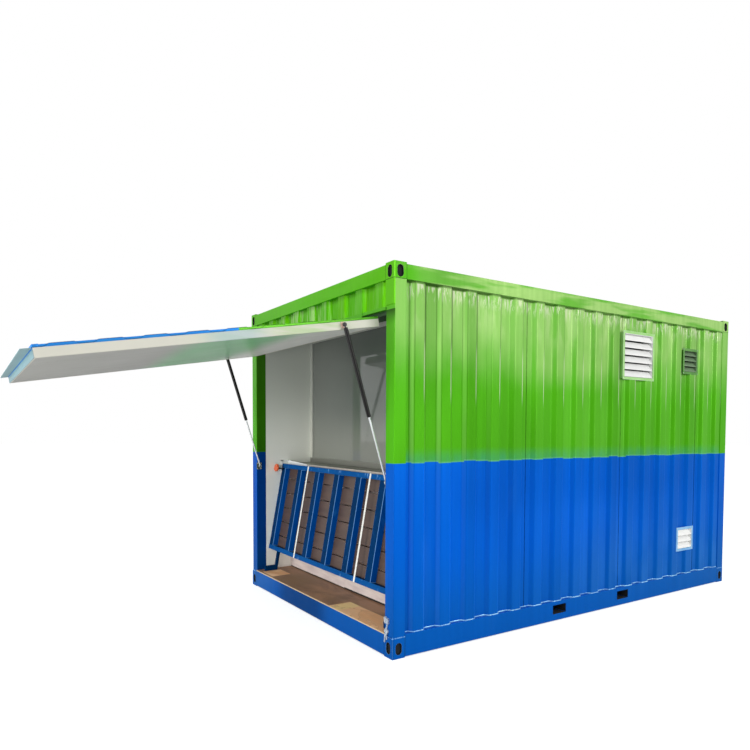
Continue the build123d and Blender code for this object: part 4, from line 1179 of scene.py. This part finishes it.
def folded_line(start, end, first_crest, high, low, pitch, crest, slope):
    """A folded sheet's section, as run and height, between two limits."""
    corners = []
    rise = first_crest - slope - pitch * (1 + ceil((first_crest - slope - start) / pitch))
    while rise < end + pitch:
        corners += [(rise, low), (rise + slope, high)]
        corners += [(rise + slope + crest, high), (rise + 2 * slope + crest, low)]
        rise += pitch
    inside = [corner for corner in corners if start + 0.001 < corner[0] < end - 0.001]
    ends = [(run, height_at(corners, run)) for run in (start, end)]
    return bend_corners([ends[0], *inside, ends[1]])


def cut_at(line, runs):
    """Add points to a line where it passes the given runs."""
    points = list(line)
    for run in runs:
        for n, ((u0, v0), (u1, v1)) in enumerate(zip(points, points[1:])):
            if u0 < run < u1:
                points.insert(n + 1, (run, v0 + (v1 - v0) * (run - u0) / (u1 - u0)))
                break
    return points


print("folds are bent in", BEND_STEPS - 1, "steps")

# %% [markdown]
# Dragging a line makes a grid: its columns are the line's points and its rows are heights. An
# opening for a louvre could be cut out with a Boolean, which leaves ragged faces. Here the grid
# simply gets a row and a column at each limit, and leaves out the faces in between.


# %% A folded sheet
def mirrored_place(x, height, z):
    """A place on the left side, from a line that was made for the right one."""
    return (x, -height, z)


def crosswise_place(y, height, z):
    """A place on a sheet that stands across the container."""
    return (height, y, z)


def lying_place(x, height, y):
    """A place on a sheet that lies level."""
    return (x, y, height)


def folded_sheet(node, body, line, rows, put, material, turned=False, openings=()):
    """Drag a section line through rows, leaving out openings given as run and row limits.

    Put turns a run, a height and a row into a place. Where it turns the line round, turned makes
    the thickness grow the other way, so that it still lies behind the outer face.
    """
    runs = [limit for run_limits, _ in openings for limit in run_limits]
    levels = sorted({*rows, *(limit for _, row_limits in openings for limit in row_limits)})
    columns = cut_at(line, runs)
    shape = bmesh.new()
    grid = [[shape.verts.new(put(u, v, level)) for u, v in columns] for level in levels]
    for r, (low, high) in enumerate(zip(levels, levels[1:])):
        for c, ((u0, _), (u1, _)) in enumerate(zip(columns, columns[1:])):
            middle = ((u0 + u1) / 2, (low + high) / 2)
            if any(a < middle[0] < b and p < middle[1] < q for (a, b), (p, q) in openings):
                continue
            shape.faces.new((grid[r][c], grid[r][c + 1], grid[r + 1][c + 1], grid[r + 1][c]))
    piece = add_piece(node.removesuffix("_panel") + "_sheet", shape, body, material, smooth=60)
    thick = piece.modifiers.new("sheet", "SOLIDIFY")
    thick.thickness = SHEET
    thick.offset = 1 if turned else -1
    keep_flats_flat(piece)
    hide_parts(node)


print("sheets are", SHEET * 1000, "mm thick")

# %% [markdown]
# Both long sides have the same folds. The right one has three openings for louvres, whose
# flanges lie over the openings' edges. The left one is the same line seen in a mirror: its
# height is turned round, and its thickness grows the other way.

# %% Side walls
LOUVRES = ("large_louvre", "small_louvre", "low_louvre")
LOUVRE_FLANGE = 0.015
WALL_DEEP = 0.032

wall_low, wall_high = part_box("right_wall")
wall_rows = (wall_low.z, wall_high.z)
faces = (wall_low.y, wall_low.y + WALL_DEEP)
right_line = folded_line(wall_low.x, wall_high.x, WALL_FIRST, *faces, **WALL_SECTION)
holes = []
for node in LOUVRES:
    low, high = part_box(node)
    xs = (low.x + LOUVRE_FLANGE, high.x - LOUVRE_FLANGE)
    holes.append((xs, (low.z + LOUVRE_FLANGE, high.z - LOUVRE_FLANGE)))
grid = (right_line, wall_rows)
folded_sheet("right_wall", "shell", *grid, plain_place, side_sheet_paint, openings=holes)
folded_sheet("left_wall", "shell", *grid, mirrored_place, side_sheet_paint, turned=True)

# %% [markdown]
# The rear wall has the side walls' section, and the header over the opening a wider and
# shallower one. Both are dragged upwards too, but their runs go across the container.

# %% Rear wall and header
HEADER_DEEP = 0.026

rear_low, rear_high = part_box("rear_wall")
faces = (rear_high.x, rear_high.x - WALL_DEEP)
rear_line = folded_line(rear_low.y, rear_high.y, REAR_FIRST, *faces, **WALL_SECTION)
rows = (rear_low.z, rear_high.z)
folded_sheet("rear_wall", "shell", rear_line, rows, crosswise_place, rear_sheet_paint)

header_low, header_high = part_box("header_panel")
faces = (header_low.x, header_low.x + HEADER_DEEP)
header_width = (header_low.y, header_high.y)
header_line = folded_line(*header_width, HEADER_FIRST, *faces, **HEADER_SECTION)
rows = (header_low.z, header_high.z)
folded_sheet("header_panel", "shell", header_line, rows, crosswise_place, header_paint, turned=True)

# %% [markdown]
# The roof is folded the same way, with wider crests and less depth, so that rain runs off. Two
# flat strips close its ends, where the folded part stops short of the rails.

# %% Roof
ROOF_END = 0.040
ROOF_DEEP = 0.020
ROOF_FIRST = -0.0455
ROOF_SECTION = {"pitch": 0.209, "crest": 0.091, "slope": 0.014}

roof_low, roof_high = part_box("roof")
faces = (roof_high.z, roof_high.z - ROOF_DEEP)
roof_limits = (roof_low.x + ROOF_END, roof_high.x - ROOF_END)
roof_line = folded_line(*roof_limits, ROOF_FIRST, *faces, **ROOF_SECTION)
rows = (roof_low.y, roof_high.y)
folded_sheet("roof", "shell", roof_line, rows, lying_place, steel_paint)

strips = []
for rail_end, (sheet_end, level) in ((roof_low.x, roof_line[0]), (roof_high.x, roof_line[-1])):
    xs = sorted((rail_end, sheet_end))
    strips.append((xs, rows, (level - SHEET, level)))
slab_piece("roof_ends", "shell", "steel_body", plain_place, strips, steel_paint)

# %% [markdown]
# The flap is a sandwich: a shallow folded skin above, a thick white panel below and a metal trim
# round the edge. Its pieces are built in the flap's own directions, the distance from the hinge
# and the depth into its thickness, and one small function turns those into a place. That way a
# sloping thing is as easy to describe as a level one.


# %% The flap's own directions
FLAP_NEAR = 0.018
FLAP_FAR = 2.035
FLAP_HALF = 1.069
SKIN_TOP = 0.011
SKIN_LOW = 0.028
PANEL_LOW = 0.078


def flap_place(distance, depth, across):
    """A place on the open flap, from its distance from the hinge, depth and y."""
    x = HINGE_X - distance * cos(DROOP) + depth * sin(DROOP)
    z = HINGE_Z - distance * sin(DROOP) - depth * cos(DROOP)
    return (x, across, z)


print("flap ends at", [round(v, 3) for v in flap_place(FLAP_FAR, 0, 0)])

# %% [markdown]
# The skin's folds run across the flap, so from the side its edge would show as a row of steps.
# On the real flap a rim of bars closes the folds. The bars are slabs in the flap's own
# directions, and behind the side ones a thin wall follows the folds down to the panel.

# %% Flap skin
SKIN_SECTION = {"pitch": 0.228, "crest": 0.118, "slope": 0.022}
RIM_TOP = 0.0135
BAR_WIDE = 0.030

faces = (SKIN_TOP, SKIN_LOW - SHEET - 0.001)
skin_line = folded_line(FLAP_NEAR, FLAP_FAR, FLAP_NEAR, *faces, **SKIN_SECTION)
outer = (-FLAP_HALF, FLAP_HALF)
folded_sheet("flap_skin", "flap", skin_line, outer, flap_place, flap_paint, turned=True)

shape = bmesh.new()
for across in (-FLAP_HALF + 0.001, FLAP_HALF - 0.001):
    tops = [shape.verts.new(flap_place(run, depth + 0.0005, across)) for run, depth in skin_line]
    feet = [shape.verts.new(flap_place(run, SKIN_LOW, across)) for run, depth in skin_line]
    for n in range(len(skin_line) - 1):
        shape.faces.new((tops[n], tops[n + 1], feet[n + 1], feet[n]))
for side in (-1, 1):
    limits = sorted((side * FLAP_HALF, side * (FLAP_HALF - BAR_WIDE)))
    slab(shape, flap_place, (FLAP_NEAR, FLAP_FAR - BAR_WIDE), (RIM_TOP, SKIN_LOW), limits)
inner = (-FLAP_HALF + BAR_WIDE, FLAP_HALF - BAR_WIDE)
slab(shape, flap_place, (FLAP_NEAR, FLAP_NEAR + BAR_WIDE), (SKIN_TOP + SHEET, SKIN_LOW), inner)
slab(shape, flap_place, (FLAP_FAR - BAR_WIDE, FLAP_FAR), (SKIN_TOP, SKIN_LOW), outer)
own_piece(shape, "flap_skin_bars", "flap", "steel_body", flap_paint, bevel=0.0015)

# %% [markdown]
# Three white panels make the flap's underside. They are grey, whiter towards the hinge, scuffed
# along the slope, and a painted green reflection of the paint lies across them. Their joints are
# real grooves between three slabs, and the paint draws a dark line and a pale painted highlight
# along each.

# %% Flap underside finish
PANEL_JOINTS = (-0.687, 0.463)

panel_finish = Finish("flap_underside")
distance = hinge_distance(panel_finish)
across = panel_finish.along("Y")
cloud = panel_finish.grain(1.1, 3.0)
scuff = panel_finish.grain((2.0, 14.0, 14.0), 4.0).step(0.58, 0.75)
slant = distance + across * 0.12
cast = slant.step(0.3, 0.65) * slant.fall(1.0, 1.25)
coat = panel_finish.layers(
    panel_finish.mix(cloud * 0.8, "adada6", "9f9f98"),
    (distance.fall(0.15, 1.25), "f4f4ee"),
    # A painted green reflection of the paint lies across the panels.
    (cast * 0.85, "70c282"),
    (scuff * 0.15, "84847c"),
)
for place in PANEL_JOINTS:
    dark = (across.band(place, 0.004, 0.002) * 0.6, "6c6c66")
    # The pale edge beside each joint is a painted highlight.
    pale = (across.band(place - 0.007, 0.003, 0.002) * 0.5, "e6e6e0")
    coat = panel_finish.layers(coat, dark, pale)
underside = panel_finish.surface(
    Base_Color=coat,
    Roughness=panel_finish.grain(3.0) * 0.2 + 0.25,
    Specular_IOR_Level=0.3,
    Normal=panel_finish.bump(panel_finish.grain((1.6, 3.0, 3.0), 2.0), 0.0008),
)
print("flap underside has joints at", PANEL_JOINTS)

# %% [markdown]
# The panels are thick boards between the skin and the trim. Each is one slab that ends half a
# groove short of the joint, and its edges are rounded, so that the groove catches a shadow.

# %% Flap panels
GROOVE = 0.003
PANEL_INSET = 0.003

ends = (FLAP_NEAR + PANEL_INSET, FLAP_FAR - PANEL_INSET)
depths = (SKIN_LOW, PANEL_LOW - 0.0005)
edges = (-FLAP_HALF + PANEL_INSET, *PANEL_JOINTS, FLAP_HALF - PANEL_INSET)
panels = [(ends, depths, (a + GROOVE / 2, b - GROOVE / 2)) for a, b in zip(edges, edges[1:])]
rounding = {"bevel": 0.0025, "node": "flap_panel"}
piece = slab_piece("flap_panels", "flap", "flap_panel", flap_place, panels, underside, **rounding)
keep_flats_flat(piece)

# %% [markdown]
# The trim is a metal profile that wraps the panel's edge, with a lip that lies under it. The
# wrap is the frame's own solid with rounded edges. The lip is little more than a millimetre
# thick, and four slabs make it.

# %% Flap trim
LIP_WIDE = 0.030
LIP_AT_TIP = 0.010
LIP_THICK = 0.0012

rounded("flap_edge", "flap", "flap_edge", 0.001, edge_white)
under = (PANEL_LOW - LIP_THICK, PANEL_LOW)
inner = (-FLAP_HALF + LIP_WIDE, FLAP_HALF - LIP_WIDE)
lips = (
    ((FLAP_NEAR, FLAP_FAR), under, (-FLAP_HALF, inner[0])),
    ((FLAP_NEAR, FLAP_FAR), under, (inner[1], FLAP_HALF)),
    ((FLAP_FAR - LIP_AT_TIP, FLAP_FAR), under, inner),
    ((FLAP_NEAR, FLAP_NEAR + LIP_WIDE), under, inner),
)
slab_piece("flap_trim_lip", "flap", "flap_edge", flap_place, lips, edge_white)

# %% [markdown]
# The deck is a flat frame of folded steel ribs with boards across its back, tied up out of the
# way behind the flap. Years of boots rub the paint off the ribs' edges, and the edges catch the
# light, so the rounding of each edge gets its own, paler material: wear and a painted highlight.
# The boards are laid one by one with a gap between them.

# %% Deck frame
LEAN = radians(10.4)
DECK_FOOT = Vector((-HALF_LONG + 0.117, 0, 0.360))
DECK_UP = Vector((sin(LEAN), 0, cos(LEAN)))
DECK_IN = Vector((cos(LEAN), 0, -sin(LEAN)))
DECK_HIGH = 0.826
DECK_FRAME = 0.052


def deck_face(middle, normal):
    """Give 1 to the faces that look along the container's width, 2 to the rails, 0 to the rest."""
    up = (middle - DECK_FOOT).dot(DECK_UP)
    if abs(normal.y) > 0.9:
        return 1
    if up > DECK_HIGH - 0.001 or up < 0.001:
        return 2
    return 0


paints = (deck_front_shaded, deck_side_lit, deck_rail, rubbed_edge_highlight)
rounded("deck_frame", "shell", "deck_steel", 0.003, *paints, choose=deck_face)
rounded("deck_feet", "shell", "deck_steel", 0.002, deck_front_shaded)

# %% [markdown]
# The rails' front faces are paler than the ribs between them. A skin less than a millimetre
# thick lies over each rail, set out up the leaning deck.

# %% Deck rails
DECK_RAIL = 0.040
RAIL_SKIN = (-0.0006, 0.001)

deck_low, deck_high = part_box("deck_boards")
deck_width = (deck_low.y, deck_high.y)


def deck_place(up, behind, across):
    """A place on the leaning deck: up its face, behind its face and y."""
    place = DECK_FOOT + DECK_UP * up + DECK_IN * behind
    return (place.x, across, place.z)


skins = []
for ups in ((0.0, DECK_RAIL), (DECK_HIGH - DECK_RAIL, DECK_HIGH)):
    skins.append((ups, RAIL_SKIN, deck_width))
slab_piece("deck_rail_faces", "shell", "deck_steel", deck_place, skins, deck_rail)

# %% [markdown]
# The boards are planks side by side, with a gap that water drains through. Their edges are in
# painted shade: a face that looks up or down the deck gets the second, near-black material.

# %% Deck boards
DECK_BOARD = 0.018
BOARDS = 6
BOARD_GAP = 0.008

board_wide = DECK_HIGH / BOARDS
boards = []
for n in range(BOARDS):
    ups = (n * board_wide + BOARD_GAP / 2, (n + 1) * board_wide - BOARD_GAP / 2)
    boards.append((ups, (DECK_FRAME, DECK_FRAME + DECK_BOARD), deck_width))
paints = (deck_timber, board_edge_shade)
rounding = {"bevel": 0.002, "node": "deck_boards"}
piece = slab_piece("deck_planks", "shell", "deck_board", deck_place, boards, *paints, **rounding)
for face in piece.data.polygons:
    face.material_index = int(abs(face.normal.dot(DECK_UP)) > 0.7)
keep_flats_flat(piece)

# %% [markdown]
# Each louvre is a painted flange round a stack of plastic blades. Which face belongs to which is
# told by its place: whatever lies outside the duct is flange. Four small screws hold each one.

# %% Louvres
SCREW_IN = 0.009
DUCT_IN = LOUVRE_FLANGE + 0.004


def louvre_face(middle, normal):
    """Give 0 to the flange of the louvre whose box is low and high, and 1 to the rest of it."""
    inside_x = low.x + DUCT_IN < middle.x < high.x - DUCT_IN
    return int(inside_x and low.z + DUCT_IN < middle.z < high.z - DUCT_IN)


shape = bmesh.new()
for node, slot, *paints in (
    ("large_louvre", "louvre_white", louvre_green, white_plastic),
    ("small_louvre", "louvre_grey", louvre_deep, grey_plastic),
    ("low_louvre", "louvre_white", louvre_blue, white_plastic),
):
    low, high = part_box(node)
    rounded(node, "shell", slot, 0.0012, *paints, choose=louvre_face)
    for x in (low.x + SCREW_IN, high.x - SCREW_IN):
        for z in (low.z + SCREW_IN, high.z - SCREW_IN):
            stud(shape, (x, low.y, z), (0, -1, 0), 0.0035, 0.0015)
own_piece(shape, "louvre_screws", "shell", "zinc", screw_steel)

# %% [markdown]
# A weld is laid down as a row of overlapping drops, so a bead is a thin tube whose thickness
# swells and shrinks along its way. Beads run where the walls stand on the bottom rails, and up
# the joints between the wall's sheets. They follow the folds, because the path is read from the
# same line that made the sheet.


# %% Weld beads
FOOT_BEAD = 0.0048
BEAD_SIDES = 6
BEAD_STEP = 0.009
FOOT_WAVE = 70.0
foot_height = wall_low.z + 0.003


def bead(shape, points, flat_way, radius, wave):
    """Add a bead along points to a mesh. Flat_way is a direction square to its path."""
    turns = [2 * pi * side / BEAD_SIDES for side in range(BEAD_SIDES)]
    rings = []
    for n, point in enumerate(points):
        ahead = points[min(n + 1, len(points) - 1)] - points[max(n - 1, 0)]
        aside = ahead.normalized().cross(flat_way).normalized()
        swell = radius * (0.85 + 0.55 * noise.noise(point * wave))
        ring = [point + (aside * cos(t) + flat_way * sin(t)) * swell for t in turns]
        rings.append([shape.verts.new(place) for place in ring])
    for one, other in zip(rings, rings[1:]):
        for side in range(BEAD_SIDES):
            after = (side + 1) % BEAD_SIDES
            shape.faces.new((one[side], one[after], other[after], other[side]))
    shape.faces.new(rings[0][::-1])
    shape.faces.new(rings[-1])


def steps_between(start, end, step):
    """Even places from one limit to the other, both left out."""
    return [start + step * n for n in range(1, int((end - start) / step))]


shape = bmesh.new()
runs = steps_between(wall_low.x, wall_high.x, BEAD_STEP)
for side in (1, -1):
    way = [Vector((run, side * (height_at(right_line, run) - 0.001), foot_height)) for run in runs]
    bead(shape, way, Vector((0, 0, 1)), FOOT_BEAD, FOOT_WAVE)
runs = steps_between(rear_low.y, rear_high.y, BEAD_STEP)
way = [Vector((height_at(rear_line, run) + 0.001, run, foot_height)) for run in runs]
bead(shape, way, Vector((0, 0, 1)), FOOT_BEAD, FOOT_WAVE)
own_piece(shape, "wall_foot_beads", "shell", "steel_body", weld_paint)

# %% [markdown]
# A wall is welded from several sheets, so a fine bead runs up each joint between two of them.
# It is ground down and painted over, so it is thinner than the beads at the foot and has the
# sheets' own paint.

# %% Sheet seams
SEAM_BEAD = 0.0028
SEAM_STEP = 0.014
SEAM_WAVE = 40.0
SIDE_SEAMS = 3
REAR_SEAMS = 2

count = int((wall_high.z - wall_low.z) / SEAM_STEP)
heights = [wall_low.z + 0.004 + SEAM_STEP * n for n in range(count)]
shape = bmesh.new()
for side in (1, -1):
    for n in range(SIDE_SEAMS):
        run = SIDE_SEAM + n * SEAM_PITCH
        face = side * (height_at(right_line, run) - 0.0004)
        way = [Vector((run, face, z)) for z in heights]
        bead(shape, way, Vector((0, 1, 0)), SEAM_BEAD, SEAM_WAVE)
for n in range(REAR_SEAMS):
    run = REAR_SEAM + n * SEAM_PITCH
    face = height_at(rear_line, run) + 0.0004
    way = [Vector((face, run, z)) for z in heights]
    bead(shape, way, Vector((1, 0, 0)), SEAM_BEAD, SEAM_WAVE)
own_piece(shape, "sheet_seams", "shell", "steel_body", side_sheet_paint)

# %% [markdown]
# The counter's front board is faced with a thin light sheet that was stuck on badly: it bulges in
# soft level folds, and its two lengths meet left of the middle, one a little lower. A grid of
# points moved by noise does this. Behind its lower edge is a gap over the floor, filled by a
# near-black slab whose colour is painted shade.

# %% Counter front
FACING_JOINT = 0.039
JOINT_GAP = 0.003
FACING_LOW = 0.170
FACING_ROWS = 46
ROW_HIGH = 0.008
COLUMN_WIDE = 0.010
FACING_DROP = 0.005
FOLD_DEEP = 0.0035

front_low, front_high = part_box("counter_front")
front_width = (front_low.y, front_high.y)


def facing_depth(y, z):
    """How far the facing lies behind its foremost place."""
    level = noise.noise(Vector((y * 2.2, z * 24.0, 1.7)))
    crease = noise.noise(Vector((y * 26.0 + z * 18.0, z * 34.0, 5.1)))
    return FOLD_DEEP * (1 - 0.7 * level - 0.45 * crease)


shape = bmesh.new()
board_x = (front_low.x + 0.009, front_high.x)
slab(shape, plain_place, board_x, front_width, (FACING_LOW, front_high.z))
for low_y, high_y, drop in (
    (front_low.y, FACING_JOINT - JOINT_GAP / 2, 0.0),
    (FACING_JOINT + JOINT_GAP / 2, front_high.y, FACING_DROP),
):
    columns = int((high_y - low_y) / COLUMN_WIDE)
    ys = [low_y + (high_y - low_y) * n / columns for n in range(columns + 1)]
    levels = [FACING_LOW - drop + ROW_HIGH * n for n in range(FACING_ROWS)] + [front_high.z]
    grid = []
    for z in levels:
        grid.append([shape.verts.new((front_low.x + facing_depth(y, z), y, z)) for y in ys])
    for lower, higher in zip(grid, grid[1:]):
        for n in range(columns):
            shape.faces.new((lower[n], higher[n], higher[n + 1], lower[n + 1]))
own_piece(shape, "counter_facing", "shell", "counter_front", kick_finish, node="counter_front")

# The plinth's near-black is painted shade in the gap under the facing.
plinth = ((front_low.x + 0.010, front_high.x), front_width, (front_low.z, FACING_LOW))
slab_piece("counter_plinth", "shell", "counter_front", plain_place, [plinth], plinth_dark)

# %% [markdown]
# A pale strip covers the counter's front edge. At the far end a white trim closes the corner
# between the counter and the lining, and rises a little towards the wall. It is a slab too, one
# whose limits spread on the way to the wall.

# %% Counter edge and trim
EDGE_HEIGHTS = (1.166, 1.1808)
TRIM_HEIGHTS = (1.160, 1.1805)
TRIM_START = 0.711
TRIM_FALL = 0.008
TRIM_RISE = 0.024
TRIM_THICK = 0.003
POST_STRIP = (-1.745, -1.719)
STRIP_HEIGHTS = (1.080, 1.205)
STRIP_BAR = 0.012

top_low, top_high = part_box("counter_top")
strip = ((top_low.x - 0.001, top_low.x + 0.002), (top_low.y, TRIM_START), EDGE_HEIGHTS)
slab_piece("counter_edge", "shell", "counter_top", plain_place, [strip], edge_strip, bevel=0.0006)


def trim_place(x, along, above):
    """A place on the trim: x, its share of the way to the wall and of the way up."""
    foot = TRIM_HEIGHTS[0] - TRIM_FALL * along
    head = TRIM_HEIGHTS[1] + (top_high.z + TRIM_RISE - TRIM_HEIGHTS[1]) * along
    return (x, TRIM_START + (top_high.y - TRIM_START) * along, foot + (head - foot) * above)


shape = bmesh.new()
trim_x = (top_low.x - 0.002, top_low.x + 0.003)
wall_skin = (top_high.y - TRIM_THICK, top_high.y)
slab(shape, trim_place, trim_x, (0, 1), (0, 1))
slab(shape, plain_place, POST_STRIP, wall_skin, STRIP_HEIGHTS)
bar_heights = (STRIP_HEIGHTS[1] - STRIP_BAR, STRIP_HEIGHTS[1])
slab(shape, plain_place, (POST_STRIP[0], trim_x[1]), wall_skin, bar_heights)
own_piece(shape, "lining_trim", "shell", "screen_frame", white_trim, bevel=0.0006)

# %% [markdown]
# The small fittings need only their edges softened: the struts' brackets, the latch, the
# screen's frame and the counter's top. Each keeps its own material.

# %% Small fittings
for node, body, slot, width, material in (
    ("strut_post_brackets", "shell", "zinc", 0.0008, bracket_steel),
    ("flap_latch", "shell", "zinc", 0.0015, zinc),
    ("screen_frame", "shell", "screen_frame", 0.0015, frame_bar),
    ("counter_top", "shell", "counter_top", 0.0015, counter_grain),
    ("strut_flap_brackets", "flap", "zinc", 0.0008, pink_primer),
):
    rounded(node, body, slot, width, material)

# %% [markdown]
# Four screws hold each strut's bracket to its post, and a nut sits on the strut's foot. They are
# too small to need threads or slots, so each is one stud.

# %% Screws and nuts
BRACKET = 0.004
POST_INNER = 1.119
STRUT_FOOT = Vector((-1.970, 0, 1.155))
NUT_Y = 1.0855

shape = bmesh.new()
for side in (-1, 1):
    plate = side * (POST_INNER - BRACKET)
    for x in (-0.018, 0.018):
        for z in (-0.026, 0.026):
            stud(shape, STRUT_FOOT + Vector((x, plate, z)), (0, -side, 0), 0.0048, 0.0022)
own_piece(shape, "shell_screws", "shell", "zinc", screw_steel)

shape = bmesh.new()
for side in (-1, 1):
    stud(shape, STRUT_FOOT + Vector((0, side * NUT_Y, 0)), (0, -side, 0), 0.010, 0.006, 6)
own_piece(shape, "strut_foot_nuts", "shell", "zinc", bracket_steel)

# %% [markdown]
# Behind the header hangs a near-black green return with a level soffit, which closes the gap
# over the flap's hinges; its colour is painted shade. Without it, the pale ceiling would show
# there. Two slabs are enough, because only their lower edges are seen.

# %% Header return
RETURN_X = -1.970
RETURN_THICK = 0.004
SOFFIT_END = -1.850
SOFFIT_THICK = 0.003
RETURN_HEIGHTS = (2.262, 2.291)

soffit_heights = (RETURN_HEIGHTS[0], RETURN_HEIGHTS[0] + SOFFIT_THICK)
plates = (
    ((RETURN_X - RETURN_THICK, RETURN_X), header_width, RETURN_HEIGHTS),
    ((RETURN_X, SOFFIT_END), header_width, soffit_heights),
)
slab_piece("header_return", "shell", "steel_body", plain_place, plates, shaded_green)

# %% [markdown]
# A cap covers each strut's upper eye, and the deck's knob turns on a black stem. All of them are
# studs. Knob and straps are made from their solids, with softer edges.

# %% Caps, stem, knob and straps
STRUT_TOP = Vector((-2.28957, 0, 2.1705))
CAP_Y = 1.0972
KNOB_UP = 0.776

shape = bmesh.new()
for side in (-1, 1):
    stud(shape, STRUT_TOP + Vector((0, side * CAP_Y, 0)), (0, side, 0), 0.009, 0.004)
own_piece(shape, "strut_caps", "flap", "zinc", black_paint)

shape = bmesh.new()
knob_low, knob_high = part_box("deck_knob")
stem_foot = deck_place(KNOB_UP, 0.0, (knob_low.y + knob_high.y) / 2)
stud(shape, stem_foot, -DECK_IN, 0.0075, 0.058)
own_piece(shape, "knob_sleeve", "shell", "zinc", black_paint)
rounded("deck_knob", "shell", "knob", 0.003, orange_plastic)
rounded("deck_straps", "shell", "strap", 0.0007, webbing)
